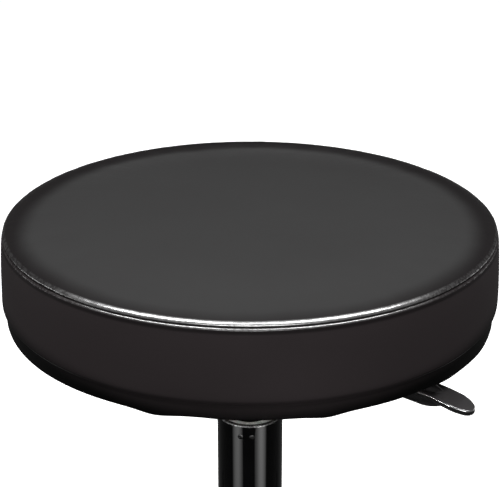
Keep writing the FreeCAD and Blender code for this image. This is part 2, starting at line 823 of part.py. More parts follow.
def make_lever_paddle():
    """The moulded paddle: a drooping blade that grows out of a tapered socket."""
    body = new_body("lever_paddle")
    start = size.blade_start
    under = size.blade_top - size.blade_thickness
    sag = easing_rise(size.paddle_reach - size.blade_straight, size.blade_droop)
    side = new_sketch(body, "blade_side", "XZ_Plane")
    add_outline(side, [
        (start, under),
        (size.blade_straight, under),
        (size.paddle_reach, under - size.blade_droop, -sag),
        (size.paddle_reach, size.blade_top - size.blade_droop),
        (size.blade_straight, size.blade_top, sag),
        (start, size.blade_top),
    ])
    add_pad(body, "blade", side, (size.blade_half + size.blade_edge) * 2, middle=True)
    plan = new_sketch(body, "blade_plan", "XY_Plane")
    half = size.blade_half
    run = size.tip_run
    fall = size.tip_fall
    turn_radius = (run * run + fall * fall) / (fall * 2)
    tip_half = half - fall
    tip_radius = tip_half * turn_radius / (turn_radius - fall)
    tip_rise = tip_radius - tip_radius * run / turn_radius
    tip = size.paddle_reach - tip_rise
    turn_rise = easing_rise(run, fall)
    far = size.paddle_reach + size.overrun
    wide = half + size.blade_edge + size.overrun
    near = start - size.overrun
    add_outline(plan, [(near, -wide), (far, -wide), (far, wide), (near, wide)])
    add_outline(plan, [
        (start, -half),
        (tip - run, -half),
        (tip, -tip_half, turn_rise),
        (tip, tip_half, tip_rise),
        (tip - run, half, turn_rise),
        (start, half),
    ])
    shaped = add_pocket(body, "blade_outline", plan,
                        (size.blade_top + size.blade_droop + size.overrun) * 2, middle=True)

    def rim(edge):
        return edge.BoundBox.XLength > size.blade_edge.value
    add_fillet(body, "blade_rounds", shaped, rim, size.blade_edge)
    begin = size.paddle_start
    bore = size.lever_radius + size.seat_fit
    bore_end = size.lever_end + size.seat_fit
    merge = size.paddle_socket_end + size.paddle_taper
    add_revolution(body, "socket", [
        (begin, bore),
        (begin, size.paddle_socket_radius),
        (size.paddle_socket_end, size.paddle_socket_radius),
        (merge, size.paddle_merge_radius, -size.paddle_merge_radius / 2),
        (merge, 0),
        (bore_end, 0),
        (bore_end, bore),
    ], axis="H_Axis")
    opening = new_sketch(body, "bore_circle", "YZ_Plane")
    add_circle(opening, 0, 0, bore)
    add_pocket(body, "bore", opening, bore_end, backward=True)
    place(body, height=lever_height, turn=LEVER_TURN)
    return keep(body)


# Gas spring

def make_cylinder_tube():
    """The pressure tube, rolled in at its foot and tapered at its top."""
    body = new_body("cylinder_tube")
    height = tube_top - tube_foot
    cone_foot = height - size.cone_length
    inner = size.tube_radius - size.tube_wall
    bevel = size.tube_lip_height / 2
    add_revolution(body, "tube", [
        (size.tube_lip_radius, 0),
        (size.tube_radius - bevel, 0),
        (size.tube_radius, bevel),
        (size.tube_radius, cone_foot),
        (size.tube_radius - size.cone_step, height),
        (inner - size.cone_step, height),
        (inner, cone_foot),
        (inner, size.tube_lip_height),
        (size.tube_lip_radius, size.tube_lip_height),
    ])
    place(body, height=tube_foot)
    return keep(body)


def make_valve_body():
    """The plug in the cone that guides the release button."""
    body = new_body("valve_body")
    bore = size.button_radius + size.running_play
    wall = size.tube_wall + size.seat_fit
    add_revolution(body, "plug", [
        (bore, 0),
        (cone_radius(tube_top - size.valve_length) - wall, 0),
        (cone_radius(tube_top) - wall, size.valve_length),
        (bore, size.valve_length),
    ])
    place(body, height=tube_top - size.valve_length)
    return keep(body)


def make_release_button():
    body = new_body("release_button")
    side = size.button_length - size.button_dome
    add_revolution(body, "button", [
        (0, 0),
        (size.button_radius, 0),
        (size.button_radius, side),
        (0, size.button_length, DOME),
    ])
    place(body, height=tube_top + size.button_stroke - size.button_length)
    return keep(body)


def make_rod_gland():
    """The guide in the tube's foot that the rod slides through."""
    body = new_body("rod_gland")
    bore = size.rod_radius + size.running_play
    add_revolution(body, "gland", ring(bore, size.tube_radius - size.tube_wall - size.seat_fit,
                                       size.gland_height))
    place(body, height=gland_foot)
    return keep(body)


def make_rod_seal():
    """The lip seal over the guide, with a groove round its inner lip."""
    body = new_body("rod_seal")
    bore = size.rod_radius + size.running_play
    outer = size.tube_radius - size.tube_wall - size.seat_fit
    middle = (bore + outer) / 2
    groove = size.seal_height * SEAL_GROOVE_SHARE
    add_revolution(body, "seal", [
        (bore, 0),
        (outer, 0),
        (outer, size.seal_height),
        (middle + groove, size.seal_height),
        (middle, size.seal_height - groove * 2),
        (middle - groove, size.seal_height),
        (bore, size.seal_height),
    ])
    place(body, height=seal_foot)
    return keep(body)


def ring(inner, outer, height):
    """The corners of a plain ring's section."""
    return [(inner, 0), (outer, 0), (outer, height), (inner, height)]


def make_piston_rod():
    """The rod from its clip under the column's floor to the head over the piston."""
    body = new_body("piston_rod")
    groove_foot = size.rod_tail - size.clip_thickness - size.seat_fit * 2
    shoulder = size.rod_tail + (bump_under - floor_under)
    piston = shoulder + (piston_foot - bump_under)
    head = piston + size.piston_height + size.seat_fit
    add_revolution(body, "rod", [
        (0, 0),
        (size.spigot_radius, 0),
        (size.spigot_radius, groove_foot),
        (size.clip_groove_radius, groove_foot),
        (size.clip_groove_radius, size.rod_tail),
        (size.spigot_radius, size.rod_tail),
        (size.spigot_radius, shoulder),
        (size.rod_radius, shoulder),
        (size.rod_radius, piston),
        (size.spigot_radius, piston),
        (size.spigot_radius, head),
        (size.rod_head_radius, head),
        (size.spigot_radius, head + size.rod_head_height),
        (0, head + size.rod_head_height),
    ])
    place(body, height=floor_under - size.rod_tail)
    return keep(body)


def piston_radius():
    return size.tube_radius - size.tube_wall - size.running_play * 2


def make_piston():
    """The piston, grooved for its ring."""
    body = new_body("piston")
    bore = size.spigot_radius + size.seat_fit
    outer = piston_radius()
    groove = outer - size.piston_groove_depth
    land = size.piston_land
    add_revolution(body, "piston_disc", [
        (bore, 0),
        (outer, 0),
        (outer, land),
        (groove, land),
        (groove, size.piston_height - land),
        (outer, size.piston_height - land),
        (outer, size.piston_height),
        (bore, size.piston_height),
    ])
    place(body, height=piston_foot)
    return keep(body)


def make_piston_ring():
    """The ring in the piston's groove, running in the tube."""
    body = new_body("piston_ring")
    inner = piston_radius() - size.piston_groove_depth + size.seat_fit
    outer = size.tube_radius - size.tube_wall - size.running_play
    height = size.piston_height - size.piston_land * 2 - size.seat_fit * 2
    add_revolution(body, "ring_section", ring(inner, outer, height))
    place(body, height=piston_foot + size.piston_land + size.seat_fit)
    return keep(body)


def make_rod_clip():
    """The open clip that holds the rod under the column's floor."""
    body = new_body("rod_clip")
    clip = new_sketch(body, "clip_circles", "XY_Plane")
    add_circle(clip, 0, 0, size.clip_radius)
    add_circle(clip, 0, 0, size.clip_groove_radius + size.seat_fit)
    add_pad(body, "clip", clip, size.clip_thickness)
    mouth = new_sketch(body, "mouth_outline", "XY_Plane")
    far = size.clip_radius + size.overrun
    half = size.clip_mouth
    add_outline(mouth, [(0, -half), (far, -half), (far, half), (0, half)])
    add_pocket(body, "mouth", mouth, size.clip_thickness + size.overrun, backward=True)
    place(body, height=floor_under - size.clip_thickness - size.seat_fit)
    return keep(body)


def make_bump_stop():
    """The rubber ring that ends the travel downwards, waisted at its middle."""
    body = new_body("bump_stop")
    inner = size.rod_radius + size.seat_fit
    outer = size.washer_radius
    add_revolution(body, "stop", [
        (inner, 0),
        (outer, 0),
        (outer - size.bump_waist, size.bump_height / 2),
        (outer, size.bump_height),
        (inner, size.bump_height),
    ])
    place(body, height=bump_under)
    return keep(body)


def make_thrust_washer(label, foot):
    body = new_body(label)
    bore = size.spigot_radius + size.running_play
    add_revolution(body, "washer", ring(bore, size.washer_radius, size.washer_thickness))
    place(body, height=foot)
    return keep(body)


def make_bearing_cage():
    """The flat cage, with a hole round each ball."""
    body = new_body("bearing_cage")
    cage = new_sketch(body, "cage_circles", "XY_Plane")
    add_circle(cage, 0, 0, size.ball_circle + size.cage_rim)
    add_circle(cage, 0, 0, size.ball_circle - size.cage_rim)
    add_pad(body, "cage", cage, size.cage_thickness)
    hole = new_sketch(body, "ball_circle", "XY_Plane")
    add_circle(hole, size.ball_circle, 0, size.ball_radius + size.running_play)
    cut = add_pocket(body, "ball_hole", hole, size.cage_thickness + size.overrun, backward=True)
    add_polar_copies(body, "ball_holes", cut, BALL_COUNT)
    place(body, height=balls_under + size.ball_radius - size.cage_thickness / 2)
    return keep(body)


def make_bearing_balls():
    """The ring of balls between the thrust washers."""
    members = []
    for number in range(BALL_COUNT):
        angle = 360 * number / BALL_COUNT
        ball = document.addObject("Part::Sphere", "bearing_ball_{}".format(number + 1))
        radius = size.ball_radius - size.seat_fit
        ball.Radius = radius.value
        ball.setExpression("Radius", radius.text)
        place(ball, size.ball_circle * cosine(angle), size.ball_circle * sine(angle),
              balls_under + size.ball_radius)
        members.append(ball)
    return keep(group("bearing_balls", members))


# Column and base

def column_radius_at(height):
    """The outside of the column at a height above its foot."""
    return size.column_radius - size.column_taper_step \
        * (size.column_taper_length - height) / size.column_taper_length


def make_column_tube():
    """The outer column, tapered where it sits in the hub, with three pairs of small holes."""
    body = new_body("column_tube")
    wall = size.column_wall
    foot = column_radius_at(as_size(0))
    top = size.column_length
    edge = size.rim_round
    add_revolution(body, "tube", [
        (size.column_lip_radius, 0),
        (foot, 0),
        (size.column_radius, size.column_taper_length),
        (size.column_radius, top - edge),
        (size.column_radius - edge, top, edge * QUARTER_SHARE),
        (size.column_radius - wall, top),
        (size.column_radius - wall, size.column_taper_length),
        (column_radius_at(wall) - wall, wall),
        (size.column_lip_radius, wall),
    ])
    pair = new_sketch(body, "snap_circles", "XZ_Plane")
    for side in (-1, 1):
        add_circle(pair, size.snap_hole_spread * side, top - size.snap_hole_drop,
                   size.snap_hole_radius)
    cut = add_pocket(body, "snap_pair", pair, size.column_radius + size.overrun, backward=True)
    add_polar_copies(body, "snap_pairs", cut, SNAP_PAIRS)
    place(body, height=column_foot, turn=Turn(UP, SNAP_TURN))
    return keep(body)


def make_guide_sleeve():
    """The plastic sleeve that guides the tube, with a collar at each end."""
    body = new_body("guide_sleeve")
    bore = size.tube_radius + size.running_play
    outer = size.column_radius - size.column_wall - size.seat_fit
    collar = size.sleeve_collar
    top = size.sleeve_length
    waist = (bore + outer) / 2
    bevel = collar * SLEEVE_BEVEL_SHARE
    add_revolution(body, "sleeve", [
        (bore, 0),
        (outer - bevel, 0),
        (outer, bevel),
        (outer, collar),
        (waist, collar),
        (waist, top - collar),
        (outer, top - collar),
        (outer, top),
        (bore + bevel, top),
        (bore, top - bevel),
    ])
    place(body, height=column_top - size.sleeve_drop - top)
    return keep(body)


def make_column_floor():
    """The disc in the column's foot that carries the bearing."""
    body = new_body("column_floor")
    bore = size.spigot_radius + size.running_play
    outer = column_radius_at(size.column_wall) - size.column_wall - size.seat_fit
    add_revolution(body, "disc", ring(bore, outer, size.floor_thickness))
    place(body, height=floor_under)
    return keep(body)


def make_base_hub():
    """The hub tube, bored to the column's taper."""
    body = new_body("base_hub")
    foot = column_radius_at(size.column_drop) + size.seat_fit
    head = column_radius_at(size.column_drop + size.hub_height) + size.seat_fit
    bevel = size.hub_edge
    outer = size.hub_radius
    add_revolution(body, "hub", [
        (foot, 0),
        (outer - bevel, 0),
        (outer, bevel),
        (outer, size.hub_height - bevel),
        (outer - bevel, size.hub_height),
        (head, size.hub_height),
    ])
    place(body, height=hub_foot)
    return keep(body)


def leg_angles():
    return [FIRST_LEG_ANGLE + LEG_TURN * number for number in range(LEG_COUNT)]


def make_leg_block(label, inset):
    """A leg's solid form, or its hollow where every side is set in by the sheet."""
    body = new_body(label)
    hollow = inset.value > 0
    root = size.hub_radius + size.seat_fit - inset
    root_half = size.leg_root_half - inset
    tip_half = size.leg_tip_half - inset
    root_height = size.leg_root_height - inset
    tip_height = size.leg_tip_height - inset
    reach = size.caster_circle
    start = size.hub_radius / 2
    plan = new_sketch(body, "plan", "XY_Plane")
    add_outline(plan, [
        (start, -root_half),
        (reach, -tip_half),
        (reach, tip_half, tip_half),
        (start, root_half),
    ])
    add_pad(body, "block", plan, root_height)
    hub = new_sketch(body, "hub_circle", "XY_Plane")
    add_circle(hub, 0, 0, root)
    add_pocket(body, "hub_side", hub, root_height + size.overrun, backward=True)
    slope = new_sketch(body, "slope", "XZ_Plane")
    far = reach + tip_half + size.overrun
    add_outline(slope, [
        (start, root_height),
        (root + size.leg_shoulder, root_height),
        (reach, tip_height),
        (far, tip_height),
        (far, root_height + size.overrun),
        (start, root_height + size.overrun),
    ])
    cut = add_pocket(body, "sloped_top", slope, (root_half + size.overrun) * 2, middle=True)

    def along_top(edge):
        box = edge.BoundBox
        at_hub = box.XMax < root.value + NEARLY_ZERO
        across = box.YMin < -NEARLY_ZERO and box.YMax > NEARLY_ZERO
        round_tip = box.XMax > reach.value + NEARLY_ZERO
        return box.ZMin > tip_height.value - NEARLY_ZERO and not at_hub \
            and (round_tip or not across)
    add_fillet(body, "top_rounds", cut, along_top, size.leg_corner - inset)
    if hollow:
        opening = new_sketch(body, "opening", "XY_Plane")
        add_outline(opening, [
            (start, -root_half),
            (reach, -tip_half),
            (reach, tip_half, tip_half),
            (start, root_half),
        ])
        add_pad(body, "mouth", opening, size.overrun, backward=True)
    return body


def make_leg(number, angle):
    """A pressed channel, open below: high at the hub, low and round at the caster."""
    outside = make_leg_block("leg_block_{}".format(number), as_size(0))
    inside = make_leg_block("leg_hollow_{}".format(number), size.leg_wall)
    leg = document.addObject("Part::Cut", "leg_{}".format(number))
    leg.Base = outside
    leg.Tool = inside
    leg.Label = leg.Name
    document.recompute()
    place(leg, height=leg_under, turn=Turn(UP, angle))
    return keep(leg)


def on_caster_circle(body, angle, height, turn=None):
    place(body, size.caster_circle * cosine(angle), size.caster_circle * sine(angle), height, turn)


def make_stem_socket(number, angle):
    """The insert in a leg's tip, bored from below for the caster's stem."""
    body = new_body("stem_socket_{}".format(number))
    outer = size.leg_tip_half - size.leg_wall - size.seat_fit
    bore = size.stem_radius + size.seat_fit
    depth = size.stem_height + size.seat_fit
    add_revolution(body, "insert", [
        (bore, 0),
        (outer, 0),
        (outer, depth - size.socket_cap),
        (bore + size.socket_cap, depth + size.socket_cap),
        (0, depth + size.socket_cap),
        (0, depth),
        (bore, depth),
    ])
    on_caster_circle(body, angle, leg_under)
    return body


def make_caster_stem(number, angle):
    """Stem, flange, raceway cup and kingpin in one turned piece, riveted under the crown."""
    body = new_body("caster_stem_{}".format(number))
    rivet_top = size.rivet_height
    cup_foot = rivet_top + size.fork_wall + size.running_play * 2
    cup_step = cup_foot + size.raceway_height * RACEWAY_STEP_SHARE
    flange = cup_foot + size.raceway_height
    stem = flange + size.flange_height
    bevel = size.rivet_height / 2
    add_revolution(body, "stem", [
        (0, 0),
        (size.rivet_radius - bevel, 0),
        (size.rivet_radius, bevel),
        (size.rivet_radius, rivet_top),
        (size.kingpin_radius, rivet_top),
        (size.kingpin_radius, cup_foot),
        (size.raceway_neck, cup_foot),
        (size.raceway_radius, cup_step),
        (size.raceway_radius, stem),
        (size.stem_radius, stem),
        (size.stem_radius, stem + size.stem_height),
        (0, stem + size.stem_height),
    ])
    on_caster_circle(body, angle, crown_under - size.running_play - size.rivet_height)
    return body


# Casters

def wheel_place(body, angle):
    """Puts a wheel piece on its axle, which lies across the leg's direction."""
    reach = size.caster_circle + size.caster_trail
    turn = Turn(UP, angle) * Turn(SIDEWAYS, 90)
    place(body, reach * cosine(angle), reach * sine(angle), size.wheel_radius, turn)


def make_caster_fork(number, angle):
    """A folded fork: a crown round the kingpin, and two cheeks that slant to the axle."""
    body = new_body("caster_fork_{}".format(number))
    inner = size.wheel_hub_width / 2 + size.fork_side_play
    outer = inner + size.fork_wall
    bend = size.fork_bend
    inner_bend = bend - size.fork_wall
    foot = size.wheel_radius - size.fork_toe_radius
    top = crown_top
    under = crown_under
    section = new_sketch(body, "section", "YZ_Plane")
    add_outline(section, [
        (-outer, foot),
        (-inner, foot),
        (-inner, top - bend),
        (-inner + inner_bend, under, -inner_bend * QUARTER_SHARE),
        (inner - inner_bend, under),
        (inner, top - bend, -inner_bend * QUARTER_SHARE),
        (inner, foot),
        (outer, foot),
        (outer, top - bend),
        (outer - bend, top, bend * QUARTER_SHARE),
        (-outer + bend, top),
        (-outer, top - bend, bend * QUARTER_SHARE),
    ])
    length = size.fork_heel + size.caster_trail + size.fork_toe_radius + size.overrun
    add_pad(body, "channel", section, length)
    side = new_sketch(body, "side", "XZ_Plane")
    axle = size.fork_heel + size.caster_trail
    toe = size.fork_toe_radius
    nose = size.fork_heel + size.fork_nose
    skirt = top - size.fork_skirt
    low, high = foot - size.overrun, top + size.overrun
    near, far = -size.overrun, length + size.overrun
    add_outline(side, [(near, low), (far, low), (far, high), (near, high)])
    add_outline(side, [
        (0, skirt),
        (axle - toe, size.wheel_radius),
        (axle + toe, size.wheel_radius, toe),
        (nose, skirt),
        (nose, top),
        (0, top),
    ])
    add_pocket(body, "cheeks", side, outer * 2 + size.overrun, middle=True)
    pin = new_sketch(body, "kingpin_circle", "XY_Plane")
    add_circle(pin, size.fork_heel, 0, size.kingpin_radius + size.running_play)
    add_pocket(body, "kingpin_hole", pin, high, backward=True)
    hole = new_sketch(body, "axle_circle", "XZ_Plane")
    add_circle(hole, axle, size.wheel_radius, size.axle_radius + size.seat_fit)
    add_pocket(body, "axle_holes", hole, outer * 2 + size.overrun, middle=True)
    reach = size.caster_circle - size.fork_heel
    place(body, reach * cosine(angle), reach * sine(angle), turn=Turn(UP, angle))
    return keep(body)


def make_caster_axle(number, angle):
    body = new_body("caster_axle_{}".format(number))
    reach = size.wheel_hub_width / 2 + size.fork_side_play + size.fork_wall + size.seat_fit
    end = reach + size.axle_head_height
    head = size.axle_head_radius
    add_revolution(body, "axle", [
        (0, -end),
        (head - size.axle_head_height, -end),
        (head, -reach),
        (size.axle_radius, -reach),
        (size.axle_radius, reach),
        (head, reach),
        (head - size.axle_head_height, end),
        (0, end),
    ])
    wheel_place(body, angle)
    return keep(body)


def make_caster_wheel(number, angle):
    """The wheel: hub, web and rim, turned in one piece."""
    body = new_body("caster_wheel_{}".format(number))
    bore = size.axle_radius + size.running_play
    hub = size.wheel_hub_width / 2
    rim = size.tyre_width / 2
    web = size.wheel_web / 2
    hub_radius = size.wheel_hub_radius
    outer = size.wheel_radius - size.tyre_depth
    inner = outer - size.rim_depth
    add_revolution(body, "wheel", [
        (bore, -hub),
        (hub_radius, -hub),
        (hub_radius, -web),
        (inner, -web),
        (inner, -rim),
        (outer, -rim),
        (outer, rim),
        (inner, rim),
        (inner, web),
        (hub_radius, web),
        (hub_radius, hub),
        (bore, hub),
    ])
    wheel_place(body, angle)
    return keep(body)


def make_caster_tyre(number, angle):
    """The tyre, its tread slightly crowned and its shoulders bevelled."""
    body = new_body("caster_tyre_{}".format(number))
    half = size.tyre_width / 2
    inner = size.wheel_radius - size.tyre_depth + size.seat_fit
    tread = size.wheel_radius - size.tread_crown
    shoulder = half - size.tread_crown
    add_revolution(body, "tyre", [
        (inner, -half),
        (tread - size.tread_crown, -half),
        (tread, -shoulder),
        (tread, shoulder, size.tread_crown),
        (tread - size.tread_crown, half),
        (inner, half),
    ])
    wheel_place(body, angle)
    return keep(body)


# Assembly

make_cover_top_panel()
make_cover_side_band()
make_foam_pad()
make_seat_board()
at_bolts("tee_nuts", make_tee_nut, board_top - size.nut_barrel_length)
at_bolts("plate_bolts", make_plate_bolt,
         plate_under - size.bolt_washer_thickness - size.bolt_head_height)
at_bolts("plate_washers", make_plate_washer, plate_under - size.bolt_washer_thickness)
make_seat_plate()
make_lever_bracket()
make_taper_socket()
make_lever_pivot_pin()
make_lever_rod()
make_lever_paddle()
make_cylinder_tube()
make_valve_body()
make_release_button()
make_rod_gland()
make_rod_seal()
make_piston_rod()
make_piston()
make_piston_ring()
make_rod_clip()
make_thrust_washer("bearing_lower_washer", floor_top)
make_thrust_washer("bearing_upper_washer", balls_top)
make_bump_stop()
make_bearing_cage()
make_bearing_balls()
make_column_tube()
make_guide_sleeve()
make_column_floor()
make_base_hub()

sockets = []
stems = []
for number, angle in enumerate(leg_angles(), start=1):
    make_leg(number, angle)
    sockets.append(make_stem_socket(number, angle))
    stems.append(make_caster_stem(number, angle))
    make_caster_fork(number, angle)
    make_caster_axle(number, angle)
    make_caster_wheel(number, angle)
    make_caster_tyre(number, angle)
keep(group("stem_sockets", sockets))
keep(group("caster_stems", stems))

document.recompute()
for item in document.Objects:
    if "Invalid" in item.State or "Error" in item.State:
        raise RuntimeError("{} failed: {}".format(item.Label, item.State))
for part in parts:
    if part.Shape.isNull() or not part.Shape.isValid():
        raise RuntimeError("{} has no valid shape".format(part.Label))

os.makedirs("parts", exist_ok=True)
for part in parts:
    part.Shape.exportStep("parts/{}.step".format(part.Label))
    print(part.Label, len(part.Shape.Solids), round(part.Shape.Volume, 1))
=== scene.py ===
import math
import random

import bmesh
import bpy
from mathutils import Matrix, Vector, kdtree, noise


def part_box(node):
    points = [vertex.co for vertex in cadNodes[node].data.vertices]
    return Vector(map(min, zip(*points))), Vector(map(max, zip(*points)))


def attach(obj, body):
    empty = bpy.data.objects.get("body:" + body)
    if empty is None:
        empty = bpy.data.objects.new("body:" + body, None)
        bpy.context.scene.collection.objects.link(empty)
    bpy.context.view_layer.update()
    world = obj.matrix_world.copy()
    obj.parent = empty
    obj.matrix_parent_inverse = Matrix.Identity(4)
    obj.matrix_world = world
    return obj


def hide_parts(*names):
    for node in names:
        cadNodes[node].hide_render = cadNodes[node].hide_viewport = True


# Creeper seat: vinyl cushion, gas lift, height lever and star base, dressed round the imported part.

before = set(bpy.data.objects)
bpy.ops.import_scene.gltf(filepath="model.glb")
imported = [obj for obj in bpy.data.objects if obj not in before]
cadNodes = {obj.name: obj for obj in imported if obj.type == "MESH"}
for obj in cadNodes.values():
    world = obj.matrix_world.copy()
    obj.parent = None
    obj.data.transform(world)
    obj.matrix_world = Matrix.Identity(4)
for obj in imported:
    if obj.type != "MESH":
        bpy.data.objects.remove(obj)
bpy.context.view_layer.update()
print("frame loaded:", len(cadNodes), "nodes")


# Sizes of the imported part

def sideReach(node):  # farthest that a node stands from the column's axis
    return max(math.hypot(v.co.x, v.co.y) for v in cadNodes[node].data.vertices)


mm = 0.001
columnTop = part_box("column_tube")[1].z
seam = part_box("cover_side_band")[1].z
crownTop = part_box("cover_top_panel")[1].z
boardLow, boardHigh = (corner.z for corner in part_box("seat_board"))
lipRadius = sideReach("cover_top_panel")
bellyRadius = sideReach("cover_side_band")
boardRadius = sideReach("seat_board")


# Helpers for meshes

mergeReach = 0.01 * mm


def around(middle, low, high):  # two heights or radii, told in mm from one
    return middle + low * mm, middle + high * mm


def pointsFrom(radius, height, offsets):  # offsets are outwards and upwards, in mm
    return [(radius + out * mm, height + up * mm) for out, up in offsets]


def smoothStep(low, high, value):
    share = min(max((value - low) / (high - low), 0), 1)
    return share * share * (3 - 2 * share)


def fade(middle, reach, value):  # 0 to 1 over a reach that is told in mm from the middle
    return smoothStep(*around(middle, *reach), value)


def makeObject(bm, name):
    mesh = bpy.data.meshes.new(name)
    bm.to_mesh(mesh)
    bm.free()
    for face in mesh.polygons:
        face.use_smooth = True
    made = bpy.data.objects.new(name, mesh)
    bpy.context.scene.collection.objects.link(made)
    return made


def makePiece(bm, name, body):
    piece = makeObject(bm, name)
    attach(piece, body)
    return piece


def addModifier(piece, kind, **settings):
    modifier = piece.modifiers.new(kind.title(), kind)
    for name, value in settings.items():
        setattr(modifier, name, value)


def applyModifiers(piece):
    graph = bpy.context.evaluated_depsgraph_get()
    graph.update()
    mesh = bpy.data.meshes.new_from_object(piece.evaluated_get(graph))
    mesh.name = piece.name
    piece.modifiers.clear()
    piece.data = mesh


def spinProfile(profile, steps):  # profile points are (radius, height)
    bm = bmesh.new()
    corners = [bm.verts.new((radius, 0, height)) for radius, height in profile]
    for first, second in zip(corners, corners[1:]):
        bm.edges.new((first, second))
    bmesh.ops.spin(bm, geom=bm.verts[:] + bm.edges[:], cent=(0, 0, 0), axis=(0, 0, 1),
                   angle=2 * math.pi, steps=steps, use_merge=True)
    bmesh.ops.remove_doubles(bm, verts=bm.verts[:], dist=mergeReach)
    bmesh.ops.recalc_face_normals(bm, faces=bm.faces[:])
    return bm


def faceOutwards(bm, face, way):  # turns an open sheet over if this face of it looks inwards
    if face.normal.dot(way) < 0:
        bmesh.ops.reverse_faces(bm, faces=bm.faces[:])


def edgesOf(vertices):
    return list({edge for vertex in vertices for edge in vertex.link_edges})


def sculpt(piece, move):  # move gives each vertex a new place
    for vertex in piece.data.vertices:
        vertex.co = move(vertex.co.copy())
    piece.data.update()


# Materials

class Signal:
    def __init__(self, paint, socket):
        self.paint = paint
        self.socket = socket

    def __add__(self, other):
        return self.paint.maths("ADD", self, other)

    def __sub__(self, other):
        return self.paint.maths("SUBTRACT", self, other)

    def __rsub__(self, other):
        return self.paint.maths("SUBTRACT", other, self)

    def __mul__(self, other):
        return self.paint.maths("MULTIPLY", self, other)

    __radd__ = __add__
    __rmul__ = __mul__


class Paint:
    def __init__(self, name):
        self.material = bpy.data.materials.new(name)
        self.material.use_nodes = True
        self.tree = self.material.node_tree
        self.shader = self.tree.nodes["Principled BSDF"]

    def node(self, kind, settings=None, inputs=None, output=0):
        made = self.tree.nodes.new("ShaderNode" + kind)
        for name, value in (settings or {}).items():
            setattr(made, name, value)
        for name, value in (inputs or {}).items():
            self.feed(made.inputs[name], value)
        return Signal(self, made.outputs[output])

    def feed(self, socket, value):
        if isinstance(value, Signal):
            self.tree.links.new(value.socket, socket)
        else:
            socket.default_value = value

    def maths(self, operation, first, second):
        return self.node("Math", {"operation": operation}, {0: first, 1: second})

    def place(self):
        return self.node("TexCoord", output="Object")

    def stretch(self, scale):  # Object coordinates, scaled along each axis
        return self.node("Mapping", inputs={"Vector": self.place(), "Scale": scale})

    def along(self, axis):
        return self.node("SeparateXYZ", inputs={0: self.place()}, output=axis)

    def fromAxis(self, shift=(0, 0, 0)):  # distance from the column's axis, or one beside it
        moved = self.node("VectorMath", {"operation": "ADD"}, {0: self.place(), 1: shift})
        flat = self.node("VectorMath", {"operation": "MULTIPLY"}, {0: moved, 1: (1, 1, 0)})
        return self.node("VectorMath", {"operation": "LENGTH"}, {0: flat}, "Value")

    def noise(self, size, detail=3, roughness=0.5, where=None):
        return self.node("TexNoise", inputs={"Vector": where or self.place(), "Scale": 1 / size,
                                             "Detail": detail, "Roughness": roughness})

    def cells(self, size, feature="F1"):
        return self.node("TexVoronoi", {"feature": feature},
                         {"Vector": self.place(), "Scale": 1 / size}, "Distance")

    def waves(self, direction, where, shape):
        return self.node("TexWave", {"wave_type": "BANDS", "bands_direction": direction},
                         {"Vector": where, **shape}, "Fac")

    def ramp(self, value, low, high):  # 0 below low, 1 above high
        return self.node("MapRange", {"interpolation_type": "SMOOTHSTEP"},
                         {"Value": value, "From Min": low, "From Max": high})

    def between(self, value, rise, fall):  # climbs to 1 over the rise, drops to 0 over the fall
        return self.ramp(value, *rise) * (1 - self.ramp(value, *fall))

    def blend(self, mask, low, high):  # of a Mix node's sockets, 6, 7 and output 2 take colours
        return self.node("Mix", {"data_type": "RGBA"}, {0: mask, 6: low, 7: high}, 2)

    def bump(self, height, depth, strength=1.0, normal=None):
        inputs = {"Height": height, "Distance": depth, "Strength": strength}
        if normal:
            inputs["Normal"] = normal
        return self.node("Bump", inputs=inputs)

    def finish(self, **sockets):
        for name, value in sockets.items():
            self.feed(self.shader.inputs[name.replace("_", " ")], value)
        return self.material


def rgb(red, green, blue):
    return (red, green, blue, 1)


def grey(level):
    return rgb(level, level, level)


def tint(colour, factor, lift=0):
    return rgb(*[part * factor + lift for part in colour[:3]])


# In the settings below a noise is its size, detail and roughness, and colours in pairs are the
# two ends of a blend. Rises and falls are in mm from their line, but for the paddle's edge.

vinyl = {
    # the top colour is lightened as painted sheen; the colour after it darkens the top towards its
    # seam as painted shade
    "top": grey(0.0268), "ring": rgb(0.0085, 0.0078, 0.008), "band": rgb(0.0136, 0.0113, 0.0118),
    "stain": rgb(0.014, 0.012, 0.0125), "stainShare": 0.2, "shadow": grey(0.0008),
    "clouds": (60 * mm, 4, 0.6), "grain": 1.1 * mm, "fineGrain": (0.385 * mm, 4),
    "fineShare": 0.5, "grainDepth": 0.04 * mm, "grainStrength": 0.5,
    "roughness": 0.45, "grainRough": 0.06, "cloudRough": 0.05, "gloss": 0.015,
    "coatRoughness": 0.3, "coatIndex": 3.4,
    "ringFade": (155 * mm, 172 * mm), "ringDrift": 6 * mm,
    "ringAside": (0, 13 * mm, 0),  # the middle's painted sheen lies this much nearer to the front
    "flank": (95 * mm, 137.75 * mm),  # how far aside the front ends and the sides are reached
    "hemFade": (boardLow - 2 * mm, boardHigh + 4 * mm), "hemDrift": 4 * mm,
    "hemRise": 0.46,  # lifts the hem's shadow by the square of the way aside, in metres
    "crease": boardHigh - 1.7 * mm, "creaseRise": (-1.6, -0.4), "creaseFall": (0.2, 1.2),
    "creaseShine": 0.7,
    "grooveRise": (-3.2, -1.2), "grooveFall": (-0.4, 0.6), "grooveShade": 0.6,
    "foldRise": (0, 0.9), "foldFall": (-0.8, 0), "lipRise": (-2.7, -1.5), "sideFade": 0.7,
    "pucker": (2.6 * mm, 3, 0.6), "puckerDepth": 0.7 * mm,
    "gatherFade": (0.42, 0.58), "gatherFront": 0.3, "gatherSides": 0.5,
}


